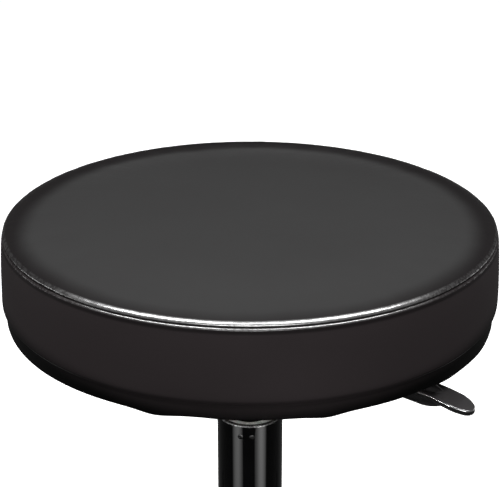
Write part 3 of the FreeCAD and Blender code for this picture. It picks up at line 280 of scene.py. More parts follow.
def makeVinyl(name, foldLow, foldHigh, shine, paintedLight, paintedShade):
    paint = Paint(name)
    grain = paint.cells(vinyl["grain"], "SMOOTH_F1") \
        + paint.noise(*vinyl["fineGrain"]) * vinyl["fineShare"]
    clouds = paint.noise(*vinyl["clouds"])
    height = paint.along("Z")
    across = paint.along("X")
    aside = across * across
    flank = paint.ramp(aside, *[side ** 2 for side in vinyl["flank"]])

    # painted sheen in the middle, painted shade towards the seam, painted shadow at the hem and in
    # the groove under the fold
    ring = paint.ramp(paint.fromAxis(vinyl["ringAside"]) + clouds * vinyl["ringDrift"],
                      *vinyl["ringFade"])
    colour = paint.blend(clouds * vinyl["stainShare"], paint.blend(ring, paintedLight, paintedShade),
                         vinyl["stain"])
    above = paint.ramp(height + clouds * vinyl["hemDrift"] - aside * vinyl["hemRise"],
                       *vinyl["hemFade"])
    colour = paint.blend(above, vinyl["shadow"], colour)
    groove = paint.between(height, around(foldLow, *vinyl["grooveRise"]),
                           around(foldLow, *vinyl["grooveFall"]))
    colour = paint.blend(groove * vinyl["grooveShade"], colour, vinyl["shadow"])

    # the sewn fold shines between its gathers, the crease over the board only at the sides
    fold = paint.between(height, around(foldLow, *vinyl["foldRise"]),
                         around(foldHigh, *vinyl["foldFall"])) \
        * paint.ramp(paint.fromAxis(), *around(lipRadius, *vinyl["lipRise"]))
    crease = paint.between(height, around(vinyl["crease"], *vinyl["creaseRise"]),
                           around(vinyl["crease"], *vinyl["creaseFall"])) * flank
    pucker = paint.noise(*vinyl["pucker"])
    gathers = paint.ramp(pucker, *vinyl["gatherFade"]) \
        * (vinyl["gatherFront"] + flank * vinyl["gatherSides"])
    polish = fold * (1 - gathers) * (1 - flank * vinyl["sideFade"]) * shine
    relief = paint.bump(pucker * fold, vinyl["puckerDepth"])
    return paint.finish(
        Base_Color=colour,
        Roughness=vinyl["roughness"] + grain * vinyl["grainRough"] + clouds * vinyl["cloudRough"],
        Coat_Weight=polish + crease * vinyl["creaseShine"],
        Normal=paint.bump(grain, vinyl["grainDepth"], vinyl["grainStrength"], relief),
        Specular_IOR_Level=vinyl["gloss"], Coat_Roughness=vinyl["coatRoughness"],
        Coat_IOR=vinyl["coatIndex"])


enamel = {
    "colours": (grey(0.0003), rgb(0.0008, 0.0008, 0.0009)), "smudge": (22 * mm, 4, 0.6),
    "roughness": 0.03, "smudgeRough": 0.02, "gloss": 0.035,
    "peel": (1.6 * mm, 2), "peelDepth": 0.003 * mm, "peelStrength": 0.3,
    "chips": (1.3 * mm, 3, 0.7), "chipDrift": 1.6 * mm, "chipRise": (0, 0.3),
    "bore": (24.4 * mm, 24.8 * mm), "specks": (1.1 * mm, 3, 0.7), "speckFade": (0.42, 0.62),
    "steel": (grey(0.01), grey(0.12)), "steelRough": 0.4,
}


def makeEnamel(name, chipHeight=None):  # chipped down to the steel above chipHeight
    paint = Paint(name)
    smudge = paint.noise(*enamel["smudge"])
    colour = paint.blend(smudge, *enamel["colours"])
    rough = enamel["roughness"] + smudge * enamel["smudgeRough"]
    metal = 0.0
    if chipHeight:
        drift = paint.noise(*enamel["chips"]) * enamel["chipDrift"]
        chips = paint.ramp(paint.along("Z") + drift, *around(chipHeight, *enamel["chipRise"]))
        inside = 1 - paint.ramp(paint.fromAxis(), *enamel["bore"])
        metal = paint.maths("MAXIMUM", chips, inside)
        specks = paint.ramp(paint.noise(*enamel["specks"]), *enamel["speckFade"])
        colour = paint.blend(metal, colour, paint.blend(specks, *enamel["steel"]))
        rough = rough + metal * enamel["steelRough"]
    peel = paint.bump(paint.noise(*enamel["peel"]), enamel["peelDepth"], enamel["peelStrength"])
    return paint.finish(Base_Color=colour, Roughness=rough, Metallic=metal, Normal=peel,
                        Specular_IOR_Level=enamel["gloss"])


powder = {
    "colour": rgb(0.013, 0.013, 0.0135), "dust": (35 * mm, 5, 0.65), "dustShare": 0.5,
    "dustTint": (1.9, 0.006), "roughness": 0.42, "dustRough": 0.14, "gloss": 0.4,
    "peel": (0.9 * mm, 3, 0.6), "peelDepth": 0.05 * mm, "peelStrength": 0.45,
}


def makePowder(name):
    paint = Paint(name)
    dust = paint.noise(*powder["dust"])
    shade = paint.blend(dust * powder["dustShare"], powder["colour"],
                        tint(powder["colour"], *powder["dustTint"]))
    peel = paint.bump(paint.noise(*powder["peel"]), powder["peelDepth"], powder["peelStrength"])
    return paint.finish(Base_Color=shade, Normal=peel, Specular_IOR_Level=powder["gloss"],
                        Roughness=powder["roughness"] + dust * powder["dustRough"])


steel = {
    "turned": (0.3, 0.3, 6), "plated": (2, 2, 2),  # how the streaks are squeezed on each axis
    "streaks": (1 * mm, 4, 0.6), "streakRough": 0.15, "streakDepth": 0.008 * mm,
    "streakStrength": 0.3, "spots": (9 * mm, 5, 0.6), "spotShare": 0.6, "spotTint": 0.6,
    "spotRough": 0.08,
}


def makeSteel(name, colour, roughness, lines):
    paint = Paint(name)
    streaks = paint.noise(*steel["streaks"], paint.stretch(steel[lines]))
    spots = paint.noise(*steel["spots"])
    shade = paint.blend(spots * steel["spotShare"], colour, tint(colour, steel["spotTint"]))
    rough = roughness + streaks * steel["streakRough"] + spots * steel["spotRough"]
    relief = paint.bump(streaks, steel["streakDepth"], steel["streakStrength"])
    return paint.finish(Base_Color=shade, Metallic=1.0, Roughness=rough, Normal=relief)


plastic = {
    "spark": (0.5 * mm, 3, 0.7), "sparkDepth": 0.02 * mm, "sparkStrength": 0.5,
    "wear": (18 * mm, 5, 0.65), "wearShare": 0.5, "wearTint": (1.5, 0.004), "wearRough": 0.12,
    "side": grey(0.003), "topFade": (0.55, 0.9),  # side is painted shade, giving way to the lit top colour over the upward part of the normal
    "edgeRise": (0.02, 0.1), "edgeFall": (0.55, 0.8), "edgeRoughness": 0.25, "edgeIndex": 3.0,
}


def makePlastic(name, colour, roughness, gloss=0.5, paintedLight=False):
    paint = Paint(name)
    wear = paint.noise(*plastic["wear"])
    shade = paint.blend(wear * plastic["wearShare"], colour, tint(colour, *plastic["wearTint"]))
    if paintedLight:  # lighter on top as painted light, black on the sides as painted shade, with a shine along the rounded edge
        normal = paint.node("TexCoord", output="Normal")
        upwards = paint.node("SeparateXYZ", inputs={0: normal}, output="Z")
        shade = paint.blend(paint.ramp(upwards, *plastic["topFade"]), plastic["side"], shade)
        edge = paint.between(upwards, plastic["edgeRise"], plastic["edgeFall"])
        paint.finish(Coat_Weight=edge, Coat_Roughness=plastic["edgeRoughness"],
                     Coat_IOR=plastic["edgeIndex"])
    spark = paint.bump(paint.noise(*plastic["spark"]), plastic["sparkDepth"],
                       plastic["sparkStrength"])
    return paint.finish(Base_Color=shade, Roughness=roughness + wear * plastic["wearRough"],
                        Normal=spark, Specular_IOR_Level=gloss)


sleeve = {
    # colour is painted shade down inside the column, rim a speckled painted highlight
    "colour": grey(0.01), "rim": (grey(0.5), grey(0.8)), "rimRise": (-1.5, -0.5),
    "specks": (1.4 * mm, 3, 0.7), "speckFade": (0.4, 0.65), "speckDepth": 0.05 * mm,
    "speckStrength": 0.5, "roughness": 0.4, "speckRough": 0.15, "gloss": 0.3,
}


def makeSleeve(name, rimHeight):  # a painted highlight at its rim, painted shade down inside the column
    paint = Paint(name)
    rim = paint.ramp(paint.along("Z"), *around(rimHeight, *sleeve["rimRise"]))
    specks = paint.ramp(paint.noise(*sleeve["specks"]), *sleeve["speckFade"])
    shade = paint.blend(rim, sleeve["colour"], paint.blend(specks, *sleeve["rim"]))
    relief = paint.bump(specks, sleeve["speckDepth"], sleeve["speckStrength"])
    return paint.finish(Base_Color=shade, Normal=relief, Specular_IOR_Level=sleeve["gloss"],
                        Roughness=sleeve["roughness"] + specks * sleeve["speckRough"])


rubber = {
    "dustColour": rgb(0.06, 0.057, 0.052), "dust": (14 * mm, 6, 0.7), "dustFade": (0.45, 0.75),
    "roughness": 0.72, "dustRough": 0.2, "gloss": 0.3,
    "pores": (0.7 * mm, 4, 0.7), "poreDepth": 0.06 * mm, "poreStrength": 0.6,
}


def makeRubber(name, colour):
    paint = Paint(name)
    dust = paint.noise(*rubber["dust"])
    shade = paint.blend(paint.ramp(dust, *rubber["dustFade"]), colour, rubber["dustColour"])
    pores = paint.bump(paint.noise(*rubber["pores"]), rubber["poreDepth"],
                       rubber["poreStrength"])
    return paint.finish(Base_Color=shade, Normal=pores, Specular_IOR_Level=rubber["gloss"],
                        Roughness=rubber["roughness"] + dust * rubber["dustRough"])


foam = {
    "colours": (rgb(0.62, 0.55, 0.36), rgb(0.72, 0.66, 0.48)), "patch": 30 * mm,
    "pore": 0.8 * mm, "poreDepth": 0.3 * mm, "roughness": 0.95,
}


def makeFoam(name):
    paint = Paint(name)
    return paint.finish(Base_Color=paint.blend(paint.noise(foam["patch"]), *foam["colours"]),
                        Normal=paint.bump(paint.cells(foam["pore"]), foam["poreDepth"]),
                        Roughness=foam["roughness"])


plywood = {
    "face": (rgb(0.52, 0.36, 0.2), rgb(0.36, 0.22, 0.11)),
    "side": (rgb(0.42, 0.28, 0.15), rgb(0.2, 0.12, 0.06)), "edge": (175.9 * mm, 176.3 * mm),
    "warp": (70 * mm, 3, 0.5), "warpStretch": (0.12, 1, 1), "warpShare": 0.3,
    "rings": {"Scale": 34.0, "Distortion": 5.0, "Detail": 4.0, "Detail Scale": 1.5},
    "ringStretch": (0.15, 1, 1), "ringShare": 0.5, "ringDepth": 0.4,
    "plies": {"Scale": 62.0, "Distortion": 0.6},
    "fibre": (0.9 * mm, 5, 0.7), "fibreStretch": (0.04, 1, 1), "fibreShare": 0.4,
    "fibreColour": rgb(0.22, 0.13, 0.07), "roughness": 0.62, "fibreRough": 0.2,
    "relief": 0.12 * mm, "reliefStrength": 0.6,
}


def makePlywood(name):
    paint = Paint(name)
    warp = paint.noise(*plywood["warp"], paint.stretch(plywood["warpStretch"]))
    rings = paint.waves("Y", paint.stretch(plywood["ringStretch"]), plywood["rings"])
    fibre = paint.noise(*plywood["fibre"], paint.stretch(plywood["fibreStretch"]))
    plies = paint.waves("Z", paint.place(), plywood["plies"])
    grain = rings * plywood["ringShare"] + warp * plywood["warpShare"]
    colour = paint.blend(paint.ramp(paint.fromAxis(), *plywood["edge"]),
                         paint.blend(grain, *plywood["face"]),
                         paint.blend(plies, *plywood["side"]))
    colour = paint.blend(fibre * plywood["fibreShare"], colour, plywood["fibreColour"])
    relief = paint.bump(fibre + rings * plywood["ringDepth"], plywood["relief"],
                        plywood["reliefStrength"])
    return paint.finish(Base_Color=colour, Normal=relief,
                        Roughness=plywood["roughness"] + fibre * plywood["fibreRough"])


finishes = {
    "vinylTop": makeVinyl("vinylTop", *around(seam, 0.3, 5), 1, vinyl["top"], vinyl["ring"]),
    "vinylBand": makeVinyl("vinylBand", *around(seam, -2, 0), 0.6, vinyl["band"],
                           vinyl["band"]),
    "foam": makeFoam("foam"),
    "plywood": makePlywood("plywood"),
    "zinc": makeSteel("zinc", rgb(0.5, 0.5, 0.48), 0.34, "plated"),
    "brightSteel": makeSteel("brightSteel", grey(0.6), 0.16, "turned"),
    "brass": makeSteel("brass", rgb(0.6, 0.42, 0.16), 0.3, "turned"),
    "powder": makePowder("powder"),
    "enamel": makeEnamel("enamel", columnTop - 0.9 * mm),
    "tubeEnamel": makeEnamel("tubeEnamel"),
    "paddle": makePlastic("paddle", rgb(0.0205, 0.0195, 0.02), 0.14, 0.2, paintedLight=True),
    "sleeve": makeSleeve("sleeve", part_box("guide_sleeve")[1].z),
    "cage": makePlastic("cage", rgb(0.6, 0.57, 0.48), 0.5),
    "wheel": makePlastic("wheel", rgb(0.016, 0.016, 0.017), 0.4),
    "rubber": makeRubber("rubber", rgb(0.02, 0.02, 0.021)),
    "tyre": makeRubber("tyre", rgb(0.022, 0.022, 0.023)),
}
print("materials made:", len(finishes))


# The cushion's foam, swollen by a cloth simulation inside its cover

cushion = {
    "steps": 96, "lift": 0.625 * mm,  # the foam starts this high over the board
    "bottom": [(-4, 0)], "low": [(-5, 5)], "half": [(-4.4, 0)], "crown": [(0, -4.2)],
    "rim": [(-3.5, -7), (-5, -0.5), (-9, 1.6), (-26, 4.2)],  # mm inside the cover
    "voxel": 5.5 * mm, "heldRim": 8 * mm, "heldSeam": 5 * mm, "heldFloor": 4 * mm,
    "pressure": 4.0, "stiffness": 40, "bending": 3, "frames": 20,
    "cap": 3.4 * mm,  # no vertex swells farther than this
    "follow": 0.55,  # share of the foam's swelling that the cover takes
    "neighbours": 12, "nearness": 4 * mm,  # how the cover averages the swelling under it
}


def simulateFoam(piece):
    addModifier(piece, "REMESH", mode="VOXEL", voxel_size=cushion["voxel"],
                use_smooth_shade=True)
    applyModifiers(piece)
    rest = [v.co.copy() for v in piece.data.vertices]
    held = piece.vertex_groups.new(name="held")
    for vertex in piece.data.vertices:
        radius = math.hypot(vertex.co.x, vertex.co.y)
        nearSeam = abs(vertex.co.z - seam) < cushion["heldSeam"]
        atRim = nearSeam and radius > lipRadius - cushion["heldRim"]
        if atRim or vertex.co.z < boardHigh + cushion["heldFloor"]:
            held.add([vertex.index], 1.0, "REPLACE")
    cloth = piece.modifiers.new("Cloth", "CLOTH")
    cloth.settings.use_pressure = True
    cloth.settings.uniform_pressure_force = cushion["pressure"]
    cloth.settings.effector_weights.gravity = 0
    cloth.settings.vertex_group_mass = "held"
    cloth.settings.tension_stiffness = cushion["stiffness"]
    cloth.settings.compression_stiffness = cushion["stiffness"]
    cloth.settings.bending_stiffness = cushion["bending"]
    cloth.point_cache.frame_start = 1
    cloth.point_cache.frame_end = cushion["frames"]
    for step in range(1, cushion["frames"] + 1):
        bpy.context.scene.frame_set(step)
    applyModifiers(piece)
    bpy.context.scene.frame_set(1)
    moves = []
    for vertex, start in zip(piece.data.vertices, rest):
        step = vertex.co - start
        if step.length > cushion["cap"]:
            step *= cushion["cap"] / step.length
        vertex.co = start + step
        moves.append(step)
    return rest, moves


def makeFoamCushion():
    bottom = boardHigh + cushion["lift"]
    profile = [(0, bottom)]
    profile += pointsFrom(boardRadius, bottom, cushion["bottom"])
    profile += pointsFrom(bellyRadius, boardHigh, cushion["low"])
    profile += pointsFrom(bellyRadius, (boardHigh + seam) / 2, cushion["half"])
    profile += pointsFrom(lipRadius, seam, cushion["rim"])
    profile += pointsFrom(0, crownTop, cushion["crown"])
    piece = makePiece(spinProfile(profile, cushion["steps"]), "foamCushion", "seat")
    swelling = None
    rest, moves = simulateFoam(piece)
    tree = kdtree.KDTree(len(rest))
    for index, place in enumerate(rest):
        tree.insert(place, index)
    tree.balance()
    swelling = (tree, moves)
    addModifier(piece, "SUBSURF", levels=1, render_levels=1)
    piece.data.materials.append(finishes["foam"])
    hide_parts("foam_pad")
    return swelling


swelling = makeFoamCushion()
print("foam made, simulated:", swelling is not None)


def swellOf(place):  # how the foam under a place of the cover has swollen
    if swelling is None:
        return Vector((0, 0, 0))
    tree, moves = swelling
    total = Vector((0, 0, 0))
    weights = 0
    for _, index, distance in tree.find_n(place, cushion["neighbours"]):
        weight = 1 / (distance + cushion["nearness"]) ** 2
        total += moves[index] * weight
        weights += weight
    return total / weights


# The vinyl cover: top panel and side band

puckers = {"count": 150, "size": 0.16 * mm, "wide": 14, "fine": 4.5, "wideShare": 0.6}


def puckerAt(angle, seed, count):  # uneven puckers all round, from about -1 to 1
    turn = Vector((math.cos(angle), math.sin(angle), seed))
    wide = noise.noise(turn * (count / puckers["wide"]))
    fine = noise.noise(turn * (count / puckers["fine"]))
    return wide * puckers["wideShare"] + fine


topPanel = {
    "steps": 144, "thickness": 1.2 * mm, "seed": 3.1,
    "roll": [  # mm from the lip and from the seam: seam allowance, valley, rolled edge, crown
        (-2.6, -0.9), (-1.4, 0.1), (-0.75, 0.05), (-0.15, 0.45), (0, 1.15), (-0.25, 1.95),
        (-1.1, 2.95), (-2.7, 4.0), (-5.6, 5.25), (-10.7, 6.2), (-20.0, 7.2), (-45.0, 8.6),
        (-90.0, 9.9),
    ],
    "crown": (30 * mm, 8 * mm, 0),  # radii of the flat middle
    "swellEnd": (-16, -4), "puckerStart": (-13, -2),  # mm from the lip
    "wave": 0.35 * mm, "waves": 9,
}


def makeTopPanel():
    profile = pointsFrom(lipRadius, seam, topPanel["roll"])
    profile += [(radius, crownTop) for radius in topPanel["crown"]]
    bm = spinProfile(profile, topPanel["steps"])
    top = max(bm.faces, key=lambda face: face.calc_center_median().z)
    faceOutwards(bm, top, Vector((0, 0, 1)))
    piece = makePiece(bm, "seatTopPanel", "seat")
    addModifier(piece, "SUBSURF", levels=2, render_levels=2)
    applyModifiers(piece)

    def drape(place):
        radius = math.hypot(place.x, place.y)
        angle = math.atan2(place.y, place.x)
        inner = 1 - fade(lipRadius, topPanel["swellEnd"], radius)
        place += swellOf(place) * (inner * cushion["follow"])
        nearSeam = fade(lipRadius, topPanel["puckerStart"], radius)
        gather = puckerAt(angle, topPanel["seed"], puckers["count"]) * puckers["size"] * nearSeam
        wave = noise.noise(place * topPanel["waves"]) * topPanel["wave"] * inner
        return place + Vector((0, 0, gather + wave))
    sculpt(piece, drape)
    addModifier(piece, "SOLIDIFY", thickness=topPanel["thickness"], offset=-1)
    piece.data.materials.append(finishes["vinylTop"])
    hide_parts("cover_top_panel")


sideBand = {
    "steps": 128, "thickness": 1.2 * mm, "slack": 0.05 * mm, "seed": 7.7,
    "fold": [  # mm from the lip and from the seam, down to the belly
        (-2.6, -0.3), (-1.3, -0.2), (-0.3, -0.35), (0.35, -0.85), (0.75, -1.7), (0.95, -2.8),
        (1.15, -5.0), (1.9, -13.0), (2.75, -28.0), (3.1, -42.0), (3.1, -49.0),
    ],
    "crease": [(-0.5, -0.2), (-1.7, -1.7)],  # mm from the belly and the board's top
    "wrapHigh": [(0.15, -2.9), (0, -4.6)],  # mm from the wrapped edge and the board's top
    "wrapLow": [(0, 2.0), (0.05, 0.3)],  # mm from the wrapped edge and the board's underside
    "turn": [  # mm from the wrapped edge and the hem's underside
        (-0.1, 0.3), (-0.7, -0.1), (-2.5, -0.05), (-5.0, 0), (-12, 0),
    ],
    "hem": [(6, 0), (0, 0)], "hemInner": 146.5 * mm,  # mm from the hem's inner edge
    "wallStart": (2, 14), "wallEnd": (-14, -4),  # mm from the board's top and from the seam
    "wobble": 0.3 * mm, "wobblesRound": 5, "wobblesUp": 22,
    "puckerStart": (-6, -1),  # mm from the seam
    "hemWave": 0.275 * mm, "hemWaves": 4.5, "hemSeed": Vector((0, 0, 5)),
    "hemEnd": (-3, 10), "sideStart": (-6, -2),  # mm from the board's top and the wrapped edge
    "pleat": 0.75 * mm, "pleats": 64, "pleatSeed": 1.3,
    "pleatEnd": (-0.8, 3), "pleatOuter": 3 * mm,  # over the underside, inside the wrapped edge
    "sags": [  # thick folds in the hem: degrees from the front, half width, depth in mm
        (-53, 26, 0.5), (-20, 5, 1.7), (-10, 4, -0.4), (16, 4.5, 1.5), (47, 5, 0.7),
        (58, 17, 1.0), (65, 5, 0.4), (101, 5, 1.1), (138, 6, 1.4), (176, 5, 0.9),
        (-81, 6, 0.9), (-118, 5, 1.5), (-147, 6, 0.8),
    ],
    "sagSharpness": 1.4, "sagBulge": 0.3,
    "sagEnd": (0, 7), "sagStart": (-24, -6),  # mm from the underside and the wrapped edge
}


def hemSag(angle):
    total = 0
    for spot, half, depth in sideBand["sags"]:
        away = (math.degrees(angle) + 90 - spot + 180) % 360 - 180
        total += depth * mm * math.exp(-(away / half) ** 2 * sideBand["sagSharpness"])
    return total


def makeSideBand():
    wrap = boardRadius + sideBand["thickness"] + sideBand["slack"]
    underside = boardLow - sideBand["thickness"]
    profile = pointsFrom(lipRadius, seam, sideBand["fold"])
    profile += pointsFrom(bellyRadius, boardHigh, sideBand["crease"])
    profile += pointsFrom(wrap, boardHigh, sideBand["wrapHigh"])
    profile += pointsFrom(wrap, boardLow, sideBand["wrapLow"])
    profile += pointsFrom(wrap, underside, sideBand["turn"])
    profile += pointsFrom(sideBand["hemInner"], underside, sideBand["hem"])
    bm = spinProfile(profile, sideBand["steps"])
    outer = max(bm.faces, key=lambda face: face.calc_center_median().xy.length)
    faceOutwards(bm, outer, outer.calc_center_median())
    piece = makePiece(bm, "seatSideBand", "seat")
    addModifier(piece, "SUBSURF", levels=2, render_levels=2)
    applyModifiers(piece)

    def drape(place):
        radius = math.hypot(place.x, place.y)
        angle = math.atan2(place.y, place.x)
        out = Vector((math.cos(angle), math.sin(angle), 0))
        wall = fade(boardHigh, sideBand["wallStart"], place.z) \
            * (1 - fade(seam, sideBand["wallEnd"], place.z))
        place += swellOf(place) * (wall * cushion["follow"])

        # the wall wobbles, the fold puckers at the seam, and the hem waves round the board
        spot = out * sideBand["wobblesRound"] + Vector((0, 0, place.z * sideBand["wobblesUp"]))
        wobble = noise.noise(spot) * sideBand["wobble"] * wall
        nearSeam = fade(seam, sideBand["puckerStart"], place.z)
        gather = puckerAt(angle, sideBand["seed"], puckers["count"]) * puckers["size"] * nearSeam
        low = 1 - fade(boardHigh, sideBand["hemEnd"], place.z)
        onSide = fade(wrap, sideBand["sideStart"], radius)
        hem = noise.noise(out * sideBand["hemWaves"] + sideBand["hemSeed"]) \
            * sideBand["hemWave"] * low * onSide
        place += out * (wobble + gather + hem)

        # pleats under the board, and the folds that sag and bulge below its edge
        under = 1 - fade(boardLow, sideBand["pleatEnd"], place.z)
        inward = 1 - smoothStep(sideBand["hemInner"], wrap - sideBand["pleatOuter"], radius)
        pleat = max(puckerAt(angle, sideBand["pleatSeed"], sideBand["pleats"]), 0) \
            * sideBand["pleat"] * under * inward
        sag = hemSag(angle) * (1 - fade(boardLow, sideBand["sagEnd"], place.z)) \
            * fade(wrap, sideBand["sagStart"], radius)
        place += out * (max(sag, 0) * sideBand["sagBulge"] * onSide)
        return place - Vector((0, 0, pleat + sag))
    sculpt(piece, drape)
    addModifier(piece, "SOLIDIFY", thickness=sideBand["thickness"], offset=-1)
    piece.data.materials.append(finishes["vinylBand"])
    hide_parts("cover_side_band")


makeTopPanel()
makeSideBand()
print("cover made")


# Staples round the hem

staples = {
    "count": 40, "radius": 153 * mm, "width": 10 * mm, "wire": 1.1 * mm, "height": 0.6 * mm,
    "round": 0.25 * mm, "tilt": 0.22, "drift": 1.6 * mm, "seed": 5,
    "lever": math.radians(-40.6),  # the lever lies halfway between two staples
}


def makeStaples():
    random.seed(staples["seed"])
    bm = bmesh.new()
    low = boardLow - sideBand["thickness"]
    for number in range(staples["count"]):
        made = bmesh.ops.create_cube(bm, size=1)["verts"]
        bmesh.ops.scale(bm, vec=(staples["wire"], staples["width"], staples["height"] * 2),
                        verts=made)
        made = bmesh.ops.bevel(bm, geom=edgesOf(made), offset=staples["round"],
                               offset_type="OFFSET", segments=2, profile=0.5, affect="EDGES",
                               material=-1)["verts"]
        angle = staples["lever"] + 2 * math.pi * (number + 0.5) / staples["count"]
        tilt = random.uniform(-1, 1) * staples["tilt"]
        spot = staples["radius"] + random.uniform(-1, 1) * staples["drift"]
        turn = Matrix.Rotation(angle, 4, "Z") @ Matrix.Translation((spot, 0, low)) \
            @ Matrix.Rotation(tilt, 4, "Z")
        bmesh.ops.transform(bm, matrix=turn, verts=made)
    piece = makePiece(bm, "hemStaples", "seat")
    piece.data.materials.append(finishes["zinc"])


makeStaples()
print("staples made")


# Weld beads

welds = {
    "bead": 2.0 * mm, "ripple": 0.18, "pitch": 2.6 * mm, "sides": 10,
    "legs": 5, "firstLeg": 90, "corner": 7 * mm, "uprightSteps": 30, "cornerSteps": 8,
    "socketGap": 0.4 * mm, "socketSteps": 160,
}


def addBead(bm, route, closed=False):  # a rippled bead along points that lie close together
    loops = []
    travelled = 0
    last = len(route) - 1
    for index, spot in enumerate(route):
        ahead = route[(index + 1) % len(route)] if closed or index < last else spot
        behind = route[index - 1] if closed or index else spot
        way = (ahead - behind).normalized()
        if index:
            travelled += (spot - route[index - 1]).length
        swell = 1 + welds["ripple"] * math.sin(2 * math.pi * travelled / welds["pitch"])
        turn = Matrix.Translation(spot) @ way.to_track_quat("Z", "X").to_matrix().to_4x4()
        made = bmesh.ops.create_circle(bm, segments=welds["sides"],
                                       radius=welds["bead"] * swell, matrix=turn,
                                       cap_ends=not closed and index in (0, last))["verts"]
        loops.append(edgesOf(made))
        if index:
            bmesh.ops.bridge_loops(bm, edges=loops[-2] + loops[-1])
    if closed:
        bmesh.ops.bridge_loops(bm, edges=loops[-1] + loops[0])


def finishWeld(bm, name, body):
    bmesh.ops.recalc_face_normals(bm, faces=bm.faces[:])
    piece = makePiece(bm, name, body)
    piece.data.materials.append(finishes["powder"])


def legOutline(low, high):  # sideways places and heights, up one side of a leg and down the other
    half = (high.x - low.x) / 2
    corner = welds["corner"]
    shoulder = high.z - corner
    steps = welds["cornerSteps"]
    halves = []
    for side in (-1, 1):
        upright = [(side * half, low.z + (shoulder - low.z) * step / welds["uprightSteps"])
                   for step in range(welds["uprightSteps"] + 1)]
        bends = [math.pi / 2 * step / steps for step in range(1, steps + 1)]
        bend = [(side * (half - corner + corner * math.cos(turn)),
                 shoulder + corner * math.sin(turn)) for turn in bends]
        flat = [(side * (half - corner) * (1 - step / steps), high.z)
                for step in range(1, steps)]
        halves.append(upright + bend + flat)
    return halves[0] + [(0, high.z)] + halves[1][::-1]


def makeHubWelds():
    bm = bmesh.new()
    hub = sideReach("base_hub")
    outline = legOutline(*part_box("leg_1"))
    for number in range(welds["legs"]):
        angle = math.radians(welds["firstLeg"] + 360 / welds["legs"] * number)
        turn = Matrix.Rotation(angle, 3, "Z")
        addBead(bm, [turn @ Vector((math.sqrt(hub ** 2 - across ** 2), across, height))
                     for across, height in outline])
    finishWeld(bm, "hubWelds", "base")


def makeSocketWeld():
    bm = bmesh.new()
    radius = sideReach("taper_socket") + welds["socketGap"]
    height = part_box("lever_bracket")[0].z
    turns = [2 * math.pi * number / welds["socketSteps"]
             for number in range(welds["socketSteps"])]
    addBead(bm, [Vector((radius * math.cos(turn), radius * math.sin(turn), height))
                 for turn in turns], closed=True)
    finishWeld(bm, "socketWeld", "seat")


makeHubWelds()
makeSocketWeld()
print("welds made")


# Finishes of the carried-over parts

nodeFinish = {  # the kinds that aren't named here are zinc
    "seat_board": "plywood", "seat_plate": "powder", "lever_bracket": "powder",
    "taper_socket": "powder", "lever_rod": "powder", "lever_paddle": "paddle",
    "cylinder_tube": "tubeEnamel", "valve_body": "brass", "piston": "brass",
    "release_button": "brightSteel", "piston_rod": "brightSteel",
    "bearing_lower_washer": "brightSteel", "bearing_upper_washer": "brightSteel",
    "bearing_balls": "brightSteel", "rod_gland": "sleeve", "guide_sleeve": "sleeve",
    "rod_seal": "rubber", "piston_ring": "rubber", "bump_stop": "rubber",
    "bearing_cage": "cage", "column_tube": "enamel", "base_hub": "powder",
    "stem_sockets": "powder", "leg": "powder", "caster_wheel": "wheel",
    "caster_tyre": "tyre",
}

for name, node in cadNodes.items():
    if node.hide_render:
        continue
    kind = name.rstrip("_12345")
    node.data.materials.clear()
    node.data.materials.append(finishes[nodeFinish.get(kind, "zinc")])
print("nodes painted")


# Floor, lights and camera

studio = {
    "floor": [(0, 0), (9, 0), (10.5, 0.15), (11.5, 0.7), (12, 1.8), (12, 8)],  # turns up far off
    "floorSteps": 64, "floorPatch": 300 * mm, "floorColours": (grey(0.84), grey(0.88)),
    "floorRoughness": 0.7, "floorGloss": 0.2, "floorGlow": 0.7, "worldStrength": 0.22,
}
white = grey(1)


def makeFloor():
    floor = makeObject(spinProfile(studio["floor"], studio["floorSteps"]), "studioFloor")
    paint = Paint("studioFloor")
    tone = paint.blend(paint.noise(studio["floorPatch"]), *studio["floorColours"])
    floor.data.materials.append(paint.finish(
        Base_Color=tone, Roughness=studio["floorRoughness"],
        Specular_IOR_Level=studio["floorGloss"], Emission_Color=white,
        Emission_Strength=studio["floorGlow"]))
    floor.visible_diffuse = False  # the seat's underside stays as dark as in the photograph
    floor.visible_glossy = False
    floor.visible_shadow = False


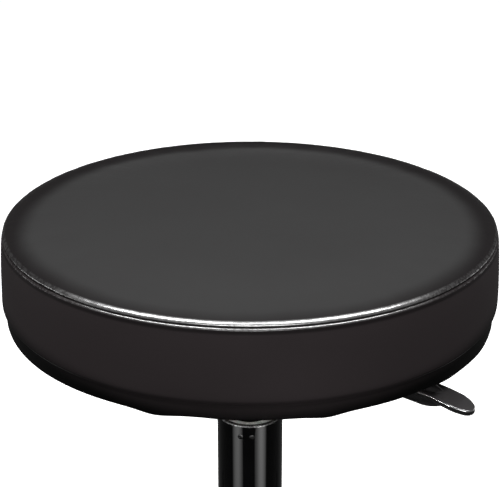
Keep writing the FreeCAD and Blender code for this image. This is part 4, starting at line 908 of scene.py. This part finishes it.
lights = {  # name: place, aim, turn, size across and along, spread, power
    "front": ((0, -2.2, 0.55), (0, 0, 0.4), 0, 1.4, 0.4, 90, 7.2),
    "collar": ((0, -0.4, 0.455), (0, -0.015, 0.268), 0, 0.06, 0.02, 8, 0.0034),
    "leverEdge": ((-0.235, -0.36, 0.28), (0.16, -0.135, 0.338), 0, 0.06, 0.16, 10, 0.03),
    "back": ((0, 2.2, 0.24), (0, 0, 0.36), 0, 1.6, 0.3, 90, 1.2),
    "sideLeft": ((-2.2, 0.4, 0.24), (0, 0, 0.36), 0, 1.2, 0.3, 90, 3),
    "sideRight": ((2.0, 0.9, 0.24), (0, 0, 0.36), 0, 1.2, 0.3, 90, 1.8),
    "keyLeft": ((-0.65, -0.65, 1.75), (0, -0.1, 0.43), 22, 1.2, 0.14, 180, 31),
    "keyRight": ((0.65, -0.65, 1.75), (0, -0.1, 0.43), -22, 1.2, 0.14, 180, 31),
    "stripLeft": ((-0.14, -0.145, 0.145), (0, 0, 0.235), 0, 0.145, 0.11, 40, 0.08),
    "stripRight": ((0.128, -0.156, 0.145), (0, 0, 0.235), 0, 0.155, 0.11, 40, 0.11),
}


def makeLights():
    for name, (spot, aim, turn, across, along, spread, power) in lights.items():
        data = bpy.data.lights.new(name, "AREA")
        data.shape = "RECTANGLE"
        data.size = across
        data.size_y = along
        data.spread = math.radians(spread)
        data.energy = power
        lamp = bpy.data.objects.new(name, data)
        facing = (Vector(aim) - Vector(spot)).to_track_quat("-Z", "Y").to_matrix().to_4x4()
        lamp.matrix_world = Matrix.Translation(spot) @ facing \
            @ Matrix.Rotation(math.radians(turn), 4, "Z")
        lamp.visible_camera = False
        bpy.context.scene.collection.objects.link(lamp)
    world = bpy.data.worlds.new("studio")
    world.use_nodes = True
    background = world.node_tree.nodes["Background"]
    background.inputs["Color"].default_value = white
    background.inputs["Strength"].default_value = studio["worldStrength"]
    bpy.context.scene.world = world


cameraFit = {  # fitted to the photograph: metres, degrees and pixels
    "distance": 1.0432, "elevation": 21.39, "pitch": 22.23, "height": 0.4251,
    "focal": 1437.6, "imageWidth": 500, "sensor": 36,
}


def makeCamera():
    data = bpy.data.cameras.new("camera")
    data.sensor_width = cameraFit["sensor"]
    data.lens = cameraFit["focal"] * cameraFit["sensor"] / cameraFit["imageWidth"]
    camera = bpy.data.objects.new("camera", data)
    lift = math.radians(cameraFit["elevation"])
    camera.location = (0, -cameraFit["distance"] * math.cos(lift),
                       cameraFit["height"] + cameraFit["distance"] * math.sin(lift))
    camera.rotation_euler = (math.radians(90 - cameraFit["pitch"]), 0, 0)
    bpy.context.scene.collection.objects.link(camera)
    bpy.context.scene.camera = camera


makeFloor()
makeLights()
makeCamera()
bpy.context.scene.view_settings.view_transform = "Standard"
print("studio made")
